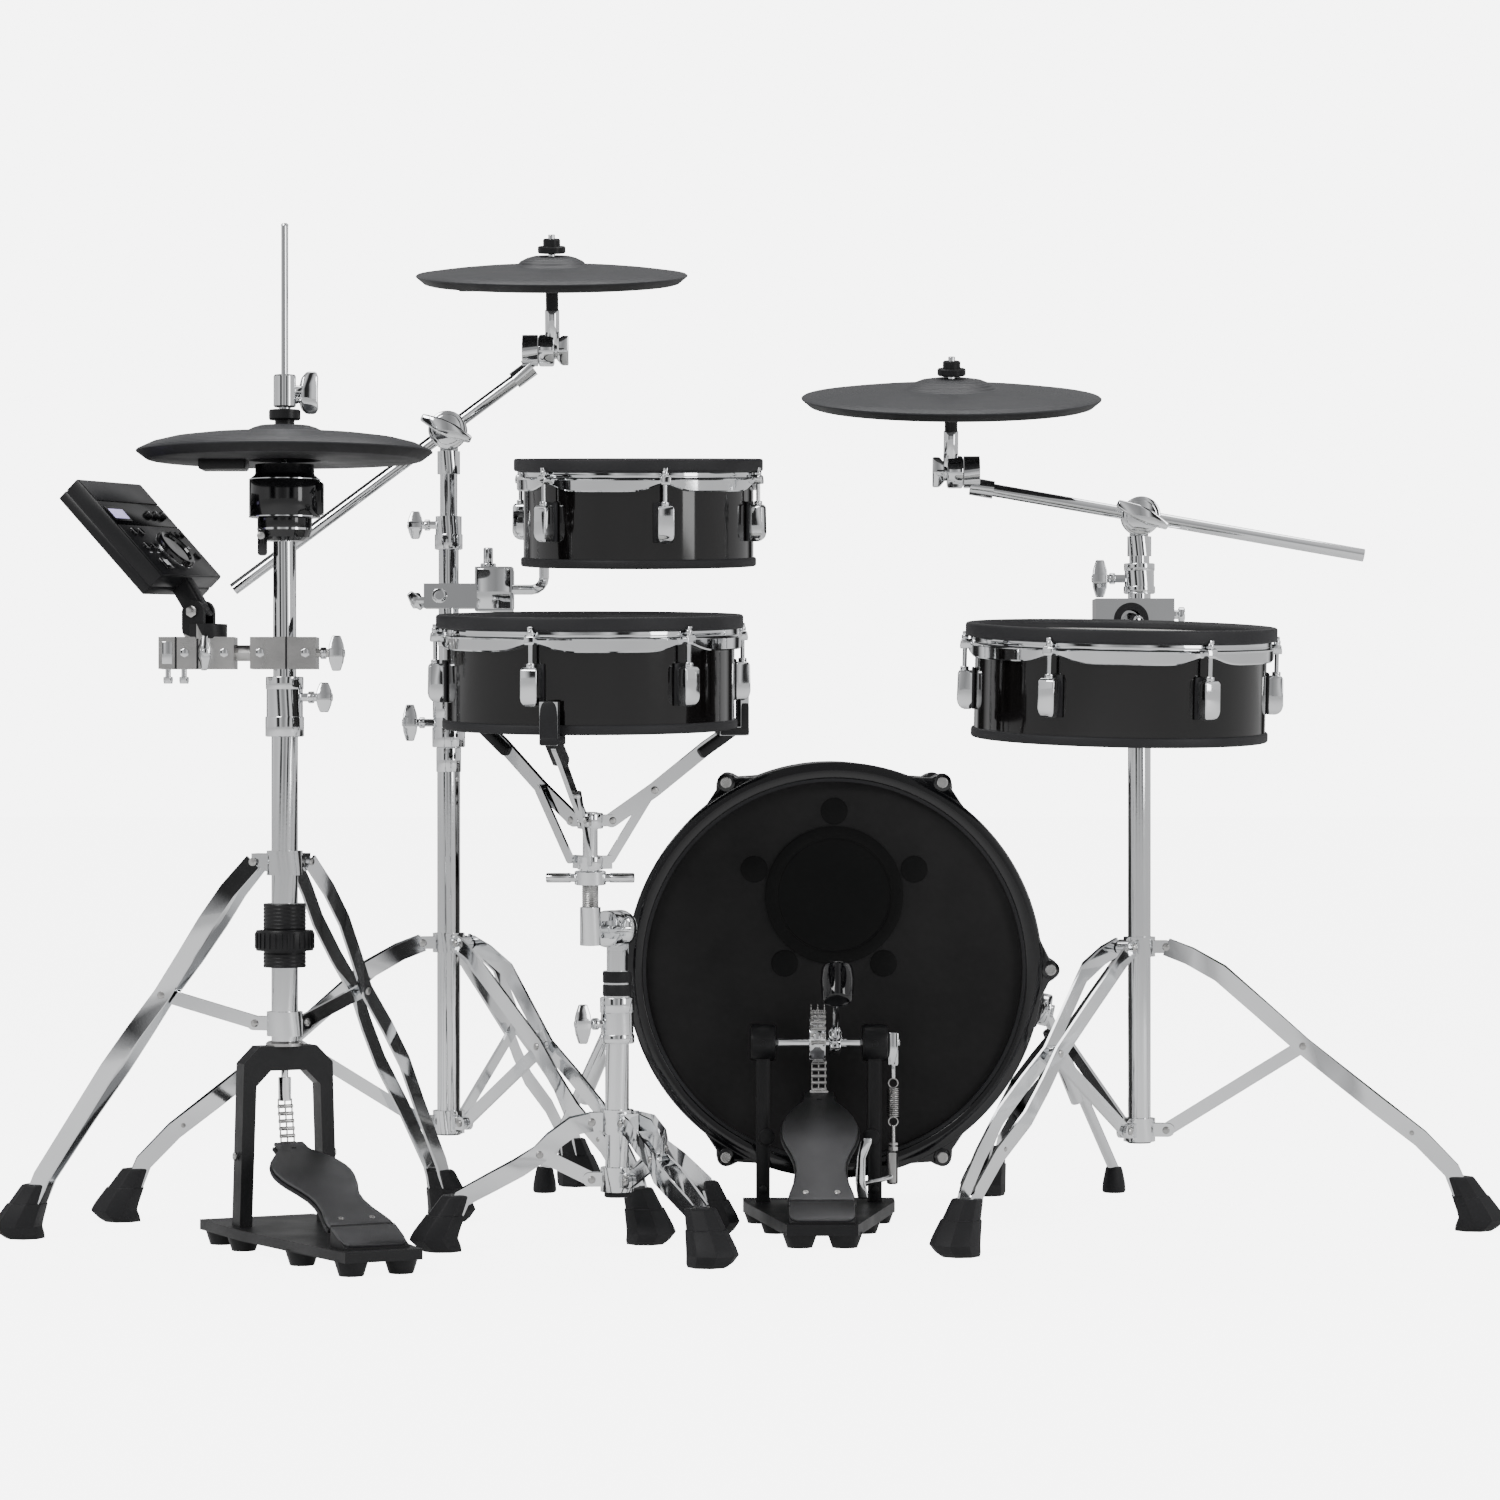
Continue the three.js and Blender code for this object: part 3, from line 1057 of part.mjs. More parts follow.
// ---------------------------------------------------------------- snare stand
function buildSnare() {
  const place = unit(snarePlace);
  const size = snareStand;
  const angles = size.legAngles;
  const { outer, bore } = clampedTube(size, size.tubeRadius, size.tubeWall, size.tubeBottom);
  const legs = copiesAbout(angles, () => legShape(snareTripod));
  const stays = fixedStays(snareTripod, angles);
  const lugs = copiesAbout(angles, () => block(30, 2 * strip.lugHalf, 127, 146, 15));
  const ring = post(size.tubeRadius + strip.collarWall, 123, 149);
  const screw = wingScrew(200, size.clampRadius - 3, 46, 240);
  const rings = tube(size.ringRadius, size.mastRadius + slip, size.ringBottom - 2, size.ringTop);
  piece("snare_tripod", place, cut(
    join(outer, legs, stays, lugs, ring, lowerCollar(snareTripod, size.tubeRadius, angles), screw, rings),
    bore), "chrome");

  const mast = pivot("snare_height", place, [0, 0, 0]);
  const facing = basket.bearing - 270;
  const disc = bar([0, 10, size.tilterHeight], [0, -6, size.tilterHeight], size.tilterRadius,
    18).rotateZ(rad(facing));
  piece("snare_mast", mast, join(
    post(size.mastRadius, size.mastBottom, size.socketTop),
    block(20, 12, size.socketTop - 4, size.tilterHeight, 0, 1).rotateZ(rad(facing)),
    disc,
  ), "chrome");

  const tilt = pivot("snare_basket_tilt", mast, [0, 0, size.tilterHeight], [0, 0, facing]);
  const straight = pivot("", tilt, [0, -basket.reach, 0], [0, 0, -facing]);
  const stem = pivot("", straight, [0, 0, 0], [snare.tilt, 0, 0]);
  piece("snare_basket_stem", tilt, basketStemShape(tilt, stem), "chrome");
  basket.armAngles.forEach((angle, k) => {
    const turn = pivot("", stem, [0, 0, 0], [0, 0, angle]);
    const hinge = pivot(`snare_arm_${k + 1}_open`, turn, [basket.armPin[0], 0, basket.armPin[1]]);
    piece(`snare_arm_${k + 1}`, hinge, basketArmShape().translate(-basket.armPin[0], 0, -basket.armPin[1]),
      "chrome");
  });
  piece("snare_shell", stem, shellShape(snare).translate(0, 0, basket.seat), "shell");
  piece("snare_rim", stem, rimShape(snare).translate(0, 0, basket.seat), "rubber");
}

// The basket's tilter half, arm, stem, nut with its handles, and both collars.
function basketStemShape(tilt, stem) {
  const size = basket;
  const half = size.armThickness / 2 + gap;
  const ears = (pin, reach) => copiesAbout(size.armAngles, () =>
    join([-1, 1].map((side) => link([size.collarRadius - 3, pin[1]], [reach, pin[1]], 12, 3,
      side * (half + 1.5))),
      pinY(pin, strip.pinRadius, half + 3)));
  const lugs = copiesAbout(size.armAngles, () =>
    block(12, 5, size.lowCollarLow, size.lowCollarHigh, size.collarRadius + 4));
  const upright = join(
    post(size.stemRadius, -12, size.stemTop), post(size.stemRadius + 3, -16, size.sleeveTop, 12),
    post(size.nutRadius, size.nutLow, size.nutHigh, 12), bar([-size.handle, 0, 55], [size.handle, 0, 55],
      4.5, 8),
    post(size.collarRadius, size.lowCollarLow, size.lowCollarHigh), lugs,
    post(size.collarRadius, size.highCollarLow, size.highCollarHigh), ears(size.armPin, size.armPin[0] + 1),
  );
  stem.updateWorldMatrix(true, false);
  tilt.updateWorldMatrix(true, false);
  upright.applyMatrix4(tilt.matrixWorld.clone().invert().multiply(stem.matrixWorld));
  const disc = bar([0, -6 - gap, 0], [0, -6 - size.discThickness, 0], snareStand.tilterRadius, 18);
  const arm = block(16, size.reach - 20, -9, 9, 0, -size.reach / 2 - 8);
  return join(disc, arm, upright, wingScrew(0, 2, 34, 0, 24).translate(0, -22, 0));
}

// One basket arm about the stem: the arm, the link below it and the rubber claw at its end.
function basketArmShape() {
  const size = basket;
  const clawBottom = size.seat - gap - size.clawThickness;
  const lip = size.clawOut - size.clawThickness / 2;
  const arm = cut(
    join(
      link(size.armPin, size.armKnee, size.armWidth, size.armThickness),
      link(size.armKnee, size.armTip, size.armWidth, size.armThickness),
    ),
    pinY(size.armPin, strip.pinRadius + slip, size.armThickness),
  );
  return join(
    arm,
    link(size.linkLow, size.armKnee, 10, size.linkThickness, size.linkOffset),
    bar([size.armKnee[0], 0, size.armKnee[1]], [size.armKnee[0], size.linkOffset + 2, size.armKnee[1]], 4, 8),
    link(size.armTip, [size.clawIn + 6, clawBottom - 1], size.armWidth, size.armThickness),
    block(size.clawOut - size.clawIn, size.clawWidth, clawBottom, clawBottom + size.clawThickness,
      (size.clawIn + size.clawOut) / 2),
    block(size.clawThickness, size.clawWidth, clawBottom, clawBottom + size.clawLip, lip),
  );
}

buildKick();
buildKickPedal();
buildHihat();
buildCrash();
buildSnare();
buildRide();

// The origin is on the floor under the middle of the whole kit.
const bounds = new THREE.Box3().setFromObject(kit, true);
const middle = bounds.getCenter(new THREE.Vector3());
const group = new THREE.Group();
kit.position.set(-middle.x, -middle.y, -bounds.min.z);
group.add(kit);

export default group;
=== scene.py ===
import json
import math

import bmesh
import bpy
from mathutils import Matrix, Vector

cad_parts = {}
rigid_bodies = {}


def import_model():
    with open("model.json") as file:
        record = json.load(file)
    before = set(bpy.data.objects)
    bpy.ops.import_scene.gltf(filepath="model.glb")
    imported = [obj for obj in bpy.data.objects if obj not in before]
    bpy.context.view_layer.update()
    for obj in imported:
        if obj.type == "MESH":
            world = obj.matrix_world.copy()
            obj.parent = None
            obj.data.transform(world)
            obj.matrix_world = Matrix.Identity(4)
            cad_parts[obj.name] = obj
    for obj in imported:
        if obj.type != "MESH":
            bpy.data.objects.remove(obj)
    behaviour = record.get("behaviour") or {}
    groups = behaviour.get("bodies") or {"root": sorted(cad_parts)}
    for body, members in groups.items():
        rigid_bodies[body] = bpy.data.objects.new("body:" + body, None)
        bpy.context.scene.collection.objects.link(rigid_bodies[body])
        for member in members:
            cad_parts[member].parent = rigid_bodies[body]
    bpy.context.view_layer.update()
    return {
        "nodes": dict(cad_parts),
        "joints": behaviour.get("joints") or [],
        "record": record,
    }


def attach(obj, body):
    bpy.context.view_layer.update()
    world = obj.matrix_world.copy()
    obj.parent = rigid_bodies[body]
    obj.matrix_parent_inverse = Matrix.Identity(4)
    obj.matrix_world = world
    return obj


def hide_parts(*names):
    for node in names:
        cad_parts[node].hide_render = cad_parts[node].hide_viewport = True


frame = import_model()
joints = {joint["name"]: joint for joint in frame["joints"]}


# The sky that chrome and lacquer reflect has dark upright bands, which draw the lines along the tubes,
# and the sky and floor that the camera sees are plain white.
def pin(name):
    """The fixed point of a hinge."""
    return Vector(joints[name]["pos_m"])


def axis(name):
    """The direction of a joint's axis."""
    return Vector(joints[name]["axis"]).normalized()


def deselect():
    bpy.ops.object.select_all(action="DESELECT")


kick_left_of_camera = 0.095
kick_spur_backset = 0.2
kick_middle = pin("kick_spur_right_fold") - Vector((0, kick_spur_backset, 0))
camera_back = 4.96
camera_height = 0.53
camera_place = Vector((kick_middle.x - kick_left_of_camera, kick_middle.y - camera_back, camera_height))
deselect()
bpy.ops.object.camera_add(location=camera_place, rotation=(math.radians(90), 0, 0))
camera = bpy.context.object
camera.data.lens = 105.6
camera.data.sensor_width = 36
camera.data.clip_end = 60
bpy.context.scene.camera = camera


def soft_light(name, place, target, size, power):
    """A square studio panel that faces a point."""
    deselect()
    aim = (Vector(target) - Vector(place)).to_track_quat("-Z", "Y").to_euler()
    bpy.ops.object.light_add(type="AREA", location=place, rotation=aim)
    light = bpy.context.object
    light.name = name
    light.data.shape = "RECTANGLE"
    light.data.size, light.data.size_y = size
    light.data.energy = power


soft_light("key_panel", (-2.6, -3.2, 3.4), (0, 0, 0.5), (2.2, 1.6), 120)
soft_light("fill_panel", (3.2, -2.6, 1.7), (0, 0, 0.5), (1.0, 2.6), 45)
soft_light("top_panel", (0, 0.8, 3.6), (0, 0, 0.4), (3.0, 1.4), 55)

sky = bpy.data.worlds.new("studio")
sky.use_nodes = True
sky_nodes, sky_links = sky.node_tree.nodes, sky.node_tree.links
sky_side = sky_nodes.new("ShaderNodeSeparateXYZ")
sky_share = sky_nodes.new("ShaderNodeMapRange")
sky_share.inputs["From Min"].default_value = -1.0
sky_bands = sky_nodes.new("ShaderNodeValToRGB")
sky_links.new(sky_nodes.new("ShaderNodeTexCoord").outputs["Generated"], sky_side.inputs[0])
sky_links.new(sky_side.outputs["X"], sky_share.inputs["Value"])
sky_links.new(sky_share.outputs[0], sky_bands.inputs[0])
bands = [(0.0, 0.7), (0.13, 0.9), (0.19, 0.03), (0.27, 0.02), (0.33, 0.85), (0.41, 0.4), (0.50, 0.3),
         (0.58, 0.45),
         (0.64, 0.9), (0.70, 0.02), (0.76, 0.04), (0.82, 0.9), (1.0, 0.7)]
stops = sky_bands.color_ramp.elements
for k, (share, level) in enumerate(bands):
    stop = stops[k] if k < 2 else stops.new(share)
    stop.position = share
    stop.color = (level, level, level * 1.01, 1)
seen = sky_nodes.new("ShaderNodeLightPath").outputs["Is Camera Ray"]
sky_level = sky_nodes.new("ShaderNodeMix")
sky_level.data_type = "RGBA"
sky_level.inputs["B"].default_value = (6.5, 6.5, 6.5, 1)
sky_links.new(seen, sky_level.inputs["Factor"])
sky_links.new(sky_bands.outputs[0], sky_level.inputs["A"])
sky_links.new(sky_level.outputs["Result"], sky_nodes["Background"].inputs["Color"])
sky_nodes["Background"].inputs["Strength"].default_value = 1.0
bpy.context.scene.world = sky

deselect()
bpy.ops.mesh.primitive_plane_add(size=60, location=(0, 0, 0))
floor = bpy.context.object
floor.name = "studio_floor"
floor_paint = bpy.data.materials.new("studio_floor_paint")
floor_paint.use_nodes = True
floor_nodes = floor_paint.node_tree.nodes
floor_shader = floor_nodes["Principled BSDF"]
floor_shader.inputs["Base Color"].default_value = (0.55, 0.55, 0.55, 1)
floor_shader.inputs["Roughness"].default_value = 0.7
floor_shader.inputs["Emission Color"].default_value = (1, 1, 1, 1)
floor_glow = floor_nodes.new("ShaderNodeMath")
floor_glow.operation = "MULTIPLY_ADD"
floor_glow.inputs[1].default_value = 6.0
floor_path = floor_nodes.new("ShaderNodeLightPath")
floor_shine = floor_nodes.new("ShaderNodeMath")
floor_shine.operation = "MULTIPLY"
floor_shine.inputs[1].default_value = 0.35
floor_paint.node_tree.links.new(floor_path.outputs["Is Glossy Ray"], floor_shine.inputs[0])
floor_paint.node_tree.links.new(floor_path.outputs["Is Camera Ray"], floor_glow.inputs[0])
floor_paint.node_tree.links.new(floor_shine.outputs[0], floor_glow.inputs[2])
floor_paint.node_tree.links.new(floor_glow.outputs[0], floor_shader.inputs["Emission Strength"])
floor.data.materials.append(floor_paint)


# ------------------------------------------------------------------ finishes
# Every finish varies a little over its surface: a soft mottle in its colour, a finer one in its gloss,
# and a shallow relief. The group below makes all three from the object's own coordinates.
def group_of(name, inputs, outputs):
    """An empty node group with these (name, socket kind, value) inputs and (name, socket kind) outputs."""
    made = bpy.data.node_groups.new(name, "ShaderNodeTree")
    for label, kind, value in inputs:
        made.interface.new_socket(name=label, in_out="INPUT", socket_type=kind).default_value = value
    for label, kind in outputs:
        made.interface.new_socket(name=label, in_out="OUTPUT", socket_type=kind)
    return made, made.nodes.new("NodeGroupInput"), made.nodes.new("NodeGroupOutput")


def noise(made, source, scale, detail=4.0):
    """A noise node on a vector, with its scale from a socket or a number."""
    node = made.nodes.new("ShaderNodeTexNoise")
    node.inputs["Detail"].default_value = detail
    made.links.new(source, node.inputs["Vector"])
    if isinstance(scale, float):
        node.inputs["Scale"].default_value = scale
    else:
        made.links.new(scale, node.inputs["Scale"])
    return node.outputs["Fac"]


def relief(made, height, strength, target, depth=0.0004):
    """A bump node from a height to a Normal socket."""
    bump = made.nodes.new("ShaderNodeBump")
    bump.inputs["Distance"].default_value = depth
    made.links.new(height, bump.inputs["Height"])
    made.links.new(strength, bump.inputs["Strength"])
    made.links.new(bump.outputs[0], target)


colour, number, vector = "NodeSocketColor", "NodeSocketFloat", "NodeSocketVector"
grey = (0.5, 0.5, 0.5, 1)
mottle, mottle_in, mottle_out = group_of(
    "mottle",
    [("Dark", colour, grey), ("Light", colour, grey), ("Scale", number, 30.0), ("Smooth", number, 0.2),
     ("Rough", number, 0.4), ("Grain", number, 400.0), ("Relief", number, 0.1)],
    [("Colour", colour), ("Roughness", number), ("Normal", vector)],
)
mottle_place = mottle.nodes.new("ShaderNodeTexCoord").outputs["Object"]
mottle_mix = mottle.nodes.new("ShaderNodeMix")
mottle_mix.data_type = "RGBA"
mottle.links.new(noise(mottle, mottle_place, mottle_in.outputs["Scale"]), mottle_mix.inputs["Factor"])
mottle.links.new(mottle_in.outputs["Dark"], mottle_mix.inputs["A"])
mottle.links.new(mottle_in.outputs["Light"], mottle_mix.inputs["B"])
mottle.links.new(mottle_mix.outputs["Result"], mottle_out.inputs["Colour"])
mottle_gloss = mottle.nodes.new("ShaderNodeMapRange")
mottle_grain = noise(mottle, mottle_place, mottle_in.outputs["Grain"], 2.0)
mottle.links.new(noise(mottle, mottle_place, 14.0, 6.0), mottle_gloss.inputs["Value"])
mottle.links.new(mottle_in.outputs["Smooth"], mottle_gloss.inputs["To Min"])
mottle.links.new(mottle_in.outputs["Rough"], mottle_gloss.inputs["To Max"])
mottle_gloss.inputs["From Min"].default_value = 0.3
mottle_gloss.inputs["From Max"].default_value = 0.7
mottle.links.new(mottle_gloss.outputs[0], mottle_out.inputs["Roughness"])
relief(mottle, mottle_grain, mottle_in.outputs["Relief"], mottle_out.inputs["Normal"])


def finish(name, dark, light, scale, smooth, rough, grain, depth, metallic=0.0, coat=0.0, gleam=0.3):
    """A material from the mottle group, with its own colours, gloss and relief."""
    made = bpy.data.materials.new(name)
    made.use_nodes = True
    nodes, links = made.node_tree.nodes, made.node_tree.links
    shader = nodes["Principled BSDF"]
    shader.inputs["Metallic"].default_value = metallic
    shader.inputs["Coat Weight"].default_value = coat
    shader.inputs["Specular IOR Level"].default_value = 0.5 if metallic or coat else gleam
    shader.inputs["Coat Roughness"].default_value = 0.04
    pattern = nodes.new("ShaderNodeGroup")
    pattern.name = "Pattern"
    pattern.node_tree = mottle
    values = {"Dark": (*dark, 1), "Light": (*light, 1), "Scale": scale, "Smooth": smooth, "Rough": rough,
              "Grain": grain, "Relief": depth}
    for label, value in values.items():
        pattern.inputs[label].default_value = value
    links.new(pattern.outputs["Colour"], shader.inputs["Base Color"])
    links.new(pattern.outputs["Roughness"], shader.inputs["Roughness"])
    links.new(pattern.outputs["Normal"], shader.inputs["Normal"])
    return made


chrome = finish("chrome_plate", (0.72, 0.73, 0.74), (0.86, 0.87, 0.88), 9.0, 0.035, 0.1, 300.0, 0.02,
                metallic=1.0)
lacquer = finish("gloss_black_lacquer", (0.003, 0.003, 0.003), (0.006, 0.005, 0.005), 7.0, 0.05, 0.09,
                 60.0, 0.01, coat=0.2)
rim_rubber = finish("rim_rubber", (0.017, 0.017, 0.019), (0.026, 0.026, 0.028), 25.0, 0.5, 0.68, 900.0,
                    0.12)
foot_rubber = finish("foot_rubber", (0.010, 0.010, 0.011), (0.017, 0.017, 0.019), 40.0, 0.45, 0.68, 700.0,
                     0.18)
casting = finish("black_cast_metal", (0.008, 0.008, 0.009), (0.014, 0.014, 0.015), 60.0, 0.32, 0.5,
                 1100.0, 0.2)
plastic = finish("satin_black_plastic", (0.007, 0.007, 0.008), (0.012, 0.012, 0.013), 30.0, 0.3, 0.42,
                 900.0, 0.1)
gloss_plastic = finish("gloss_black_plastic", (0.004, 0.004, 0.005), (0.007, 0.007, 0.008), 12.0, 0.06,
                       0.11, 80.0, 0.01, coat=0.2)
steel = finish("plated_steel", (0.42, 0.42, 0.41), (0.62, 0.61, 0.6), 60.0, 0.2, 0.34, 500.0, 0.1,
               metallic=1.0)


def smooth_node(name, material, sharp=36):
    """Gives a CAD node its finish, and shades its round faces smooth and its edges sharp."""
    node = frame["nodes"][name]
    node.data.materials.clear()
    node.data.materials.append(material)
    deselect()
    node.select_set(True)
    bpy.context.view_layer.objects.active = node
    bpy.ops.mesh.customdata_custom_splitnormals_clear()
    bpy.ops.object.shade_smooth()
    node.modifiers.new("Weld", "WELD").merge_threshold = 1e-5
    split = node.modifiers.new("Edges", "EDGE_SPLIT")
    split.split_angle = math.radians(sharp)
    node.modifiers.new("Even", "WEIGHTED_NORMAL").weight = 90


node_finish = {
    "chrome": chrome, "gloss_shell": lacquer, "rubber": rim_rubber, "black_casting": casting,
    "mesh_head": plastic, "footboard_metal": steel, "black_plastic": plastic,
}
for subpart in frame["record"]["subparts"]:
    smooth_node(subpart["node"], node_finish[subpart["material_slot"]])


# ------------------------------------------------------------------ kick drum
# A shallow wooden tube in gloss black lacquer between two black hoops. Six ears on each hoop take the
# long bolts that pull both heads tight. Its batter head is black mesh with a round pad over the sensor.
def loft(sides, stations, closed=False):
    """A skin drawn up through rings of (height, half width, half depth, x, y)."""
    corner = math.sqrt(2) if sides == 4 else 1
    turn = math.pi / sides if sides in (4, 8) else 0
    deselect()
    bpy.ops.mesh.primitive_circle_add(vertices=sides, radius=corner, location=(0, 0, 0),
                                      rotation=(0, 0, turn))
    skin = bpy.context.object
    bpy.ops.object.transform_apply(location=True, rotation=True, scale=True)
    bpy.ops.object.mode_set(mode="EDIT")
    bpy.ops.mesh.select_all(action="SELECT")
    path = list(stations) + ([stations[0]] if closed else [])
    height, width, depth, x, y = path[0]
    bpy.ops.transform.resize(value=(width, depth, 1), center_override=(0, 0, 0))
    bpy.ops.transform.translate(value=(x, y, height))
    for next_height, next_width, next_depth, next_x, next_y in path[1:]:
        step = (next_x - x, next_y - y, next_height - height)
        bpy.ops.mesh.extrude_edges_move(TRANSFORM_OT_translate={"value": step})
        grow = (next_width / width, next_depth / depth, 1)
        bpy.ops.transform.resize(value=grow, center_override=(next_x, next_y, next_height))
        height, width, depth, x, y = next_height, next_width, next_depth, next_x, next_y
    if closed:
        bpy.ops.mesh.select_all(action="SELECT")
        bpy.ops.mesh.remove_doubles(threshold=1e-6)
    else:
        bpy.ops.mesh.edge_face_add()
        edit = bmesh.from_edit_mesh(skin.data)
        for point in edit.verts:
            point.select = point.index < sides
        edit.select_flush(True)
        bmesh.update_edit_mesh(skin.data)
        bpy.ops.mesh.edge_face_add()
    bpy.ops.mesh.select_all(action="SELECT")
    bpy.ops.mesh.normals_make_consistent(inside=False)
    bpy.ops.object.mode_set(mode="OBJECT")
    return skin


def turned(outline, sides=96, closed=False):
    """A solid turned about Z from an outline of (radius, height) points."""
    return loft(sides, [(height, radius, radius, 0, 0) for radius, height in outline], closed)


def soften(piece, width, segments=2, angle=35):
    """Rounds every edge sharper than an angle, and applies it."""
    deselect()
    piece.select_set(True)
    bpy.context.view_layer.objects.active = piece
    bevel = piece.modifiers.new("Soft edges", "BEVEL")
    bevel.width = width
    bevel.segments = segments
    bevel.limit_method = "ANGLE"
    bevel.angle_limit = math.radians(angle)
    bevel.harden_normals = False
    bpy.ops.object.modifier_apply(modifier=bevel.name)
    return piece


def box(size, middle=(0, 0, 0), edge=0.001):
    """A block with soft edges."""
    deselect()
    bpy.ops.mesh.primitive_cube_add(size=1, location=middle)
    block = bpy.context.object
    bpy.ops.object.mode_set(mode="EDIT")
    bpy.ops.mesh.select_all(action="SELECT")
    bpy.ops.transform.resize(value=size, center_override=middle)
    bpy.ops.object.mode_set(mode="OBJECT")
    bpy.ops.object.transform_apply(location=True, rotation=True, scale=True)
    return soften(block, edge) if edge else block


def along(start, end):
    """The place and turn that send the Z axis from one point towards another."""
    aim = (Vector(end) - Vector(start)).to_track_quat("Z", "Y").to_matrix().to_4x4()
    return Matrix.Translation(start) @ aim


def rod(start, end, radius, sides=32, edge=0.0, end_radius=None):
    """A round bar from one point to another."""
    length = (Vector(end) - Vector(start)).length
    bar = loft(sides, [(0, radius, radius, 0, 0),
                       (length, end_radius or radius, end_radius or radius, 0, 0)])
    if edge:
        soften(bar, edge)
    bar.data.transform(along(start, end))
    return bar


def copy_of(piece, place):
    """A copy of a piece, with its own mesh, at another place."""
    twin = piece.copy()
    twin.data = piece.data.copy()
    bpy.context.collection.objects.link(twin)
    twin.data.transform(place)
    return twin


def joined(parts):
    """Several meshes as one piece."""
    deselect()
    for part in parts:
        part.select_set(True)
    bpy.context.view_layer.objects.active = parts[0]
    bpy.ops.object.join()
    return bpy.context.object


def around(piece, count, first=0.0):
    """Copies of a piece set evenly about Z, joined. The first is turned by an angle in degrees."""
    turns = [math.radians(first + 360 * k / count) for k in range(count)]
    copies = [copy_of(piece, Matrix.Rotation(turn, 4, "Z")) for turn in turns]
    bpy.data.objects.remove(piece)
    return joined(copies)


def fit(piece, name, material, body, place=Matrix.Identity(4), stands_for=()):
    """Names a piece, puts it in its place, and gives it its finish and the body that it moves with."""
    piece.name = name
    piece.data.name = name
    piece.data.transform(place)
    piece.data.materials.clear()
    piece.data.materials.append(material)
    deselect()
    piece.select_set(True)
    bpy.context.view_layer.objects.active = piece
    bpy.ops.object.shade_smooth_by_angle(angle=math.radians(32))
    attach(piece, body)
    if stands_for:
        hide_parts(*stands_for)
    return piece


root = "floor_units"
forward = Matrix.Rotation(math.radians(-90), 4, "X")
kick = Matrix.Translation(kick_middle) @ forward
kick_radius = 0.226
kick_hoop_radius = 0.235
kick_start, kick_end = 0.014, 0.296
kick_shell = turned([(0.218, kick_start), (kick_radius, kick_start), (kick_radius, kick_end),
                     (0.218, kick_end)], 128, True)
fit(kick_shell, "kick_shell_tube", lacquer, root, kick, ["kick_shell"])


def kick_ears(front, back):
    """Six ears that spread from the hoop to a bolt."""
    depth = back - front
    ear = loft(4, [(0, 0.041, depth / 2, 0, 0), (0.006, 0.028, depth / 2, 0, 0),
                   (0.013, 0.014, depth / 2, 0, 0),
                   (0.021, 0.009, depth / 2, 0, 0)])
    soften(ear, 0.003, 3)
    ear.data.transform(Matrix.Rotation(math.radians(90), 4, "Y"))
    ear.data.transform(Matrix.Rotation(math.radians(90), 4, "X"))
    ear.data.transform(Matrix.Translation((0.2295, 0, (front + back) / 2)))
    boss = rod((0.244, 0, front - 0.001), (0.244, 0, back + 0.001), 0.0104, 32, 0.0015)
    return around(joined([ear, boss]), 6)


batter_hoop = turned([(0.216, 0), (kick_hoop_radius, 0), (kick_hoop_radius, 0.038), (0.229, 0.038),
                      (0.229, 0.0102), (0.216, 0.0102)], 128, True)
soften(batter_hoop, 0.0022, 3)
batter_hoop = joined([batter_hoop, kick_ears(0.002, 0.034)])
fit(batter_hoop, "kick_batter_hoop_ring", gloss_plastic, root, kick, ["kick_batter_hoop"])
hoop_lining = turned([(0.2125, 0.0015), (0.2162, 0.0005), (0.2162, 0.0105), (0.2125, 0.0105)], 128, True)
fit(hoop_lining, "kick_hoop_lining", rim_rubber, root, kick)

front_hoop = turned([(0.229, 0.272), (kick_hoop_radius, 0.272), (kick_hoop_radius, 0.310), (0.216, 0.310),
                     (0.216, 0.2994), (0.229, 0.2994)], 128, True)
soften(front_hoop, 0.0022, 3)
front_hoop = joined([front_hoop, kick_ears(0.276, 0.308)])
fit(front_hoop, "kick_front_hoop_ring", gloss_plastic, root, kick, ["kick_front_head"])
front_head = turned([(0.0002, 0.2972), (0.2286, 0.2972), (0.2286, 0.2994), (0.0002, 0.2994)], 128)
fit(front_head, "kick_front_skin", gloss_plastic, root, kick)

bolt_head = turned([(0.0046, 0), (0.0062, 0.0008), (0.0062, 0.0024), (0.0052, 0.0032), (0.0034, 0.0032),
                    (0.0034, 0.0018), (0.0003, 0.0018)], 24)
bolt_head.data.transform(Matrix.Rotation(math.pi, 4, "X"))
bolt_head.data.transform(Matrix.Translation((0.244, 0, 0.0012)))
bolt_rod = rod((0.244, 0, 0.034), (0.244, 0, 0.277), 0.0032, 20)
nut = loft(6, [(0.3085, 0.0056, 0.0056, 0, 0), (0.3125, 0.0056, 0.0056, 0, 0)])
nut.data.transform(Matrix.Translation((0.244, 0, 0)))
kick_bolts = around(joined([bolt_head, bolt_rod, nut]), 6)
fit(kick_bolts, "kick_tension_bolts", steel, root, kick)

weave, weave_in, weave_out = group_of(
    "weave", [("Pitch", number, 500.0), ("Depth", number, 0.5)], [("Thread", number), ("Normal", vector)]
)
weave_place = weave.nodes.new("ShaderNodeTexCoord").outputs["Object"]
weave_axes = weave.nodes.new("ShaderNodeSeparateXYZ")
weave.links.new(weave_place, weave_axes.inputs[0])


def wave_of(made, source, pitch):
    """The sine of a length times a pitch."""
    scaled = made.nodes.new("ShaderNodeMath")
    scaled.operation = "MULTIPLY"
    made.links.new(source, scaled.inputs[0])
    made.links.new(pitch, scaled.inputs[1])
    sine = made.nodes.new("ShaderNodeMath")
    sine.operation = "SINE"
    made.links.new(scaled.outputs[0], sine.inputs[0])
    return sine.outputs[0]


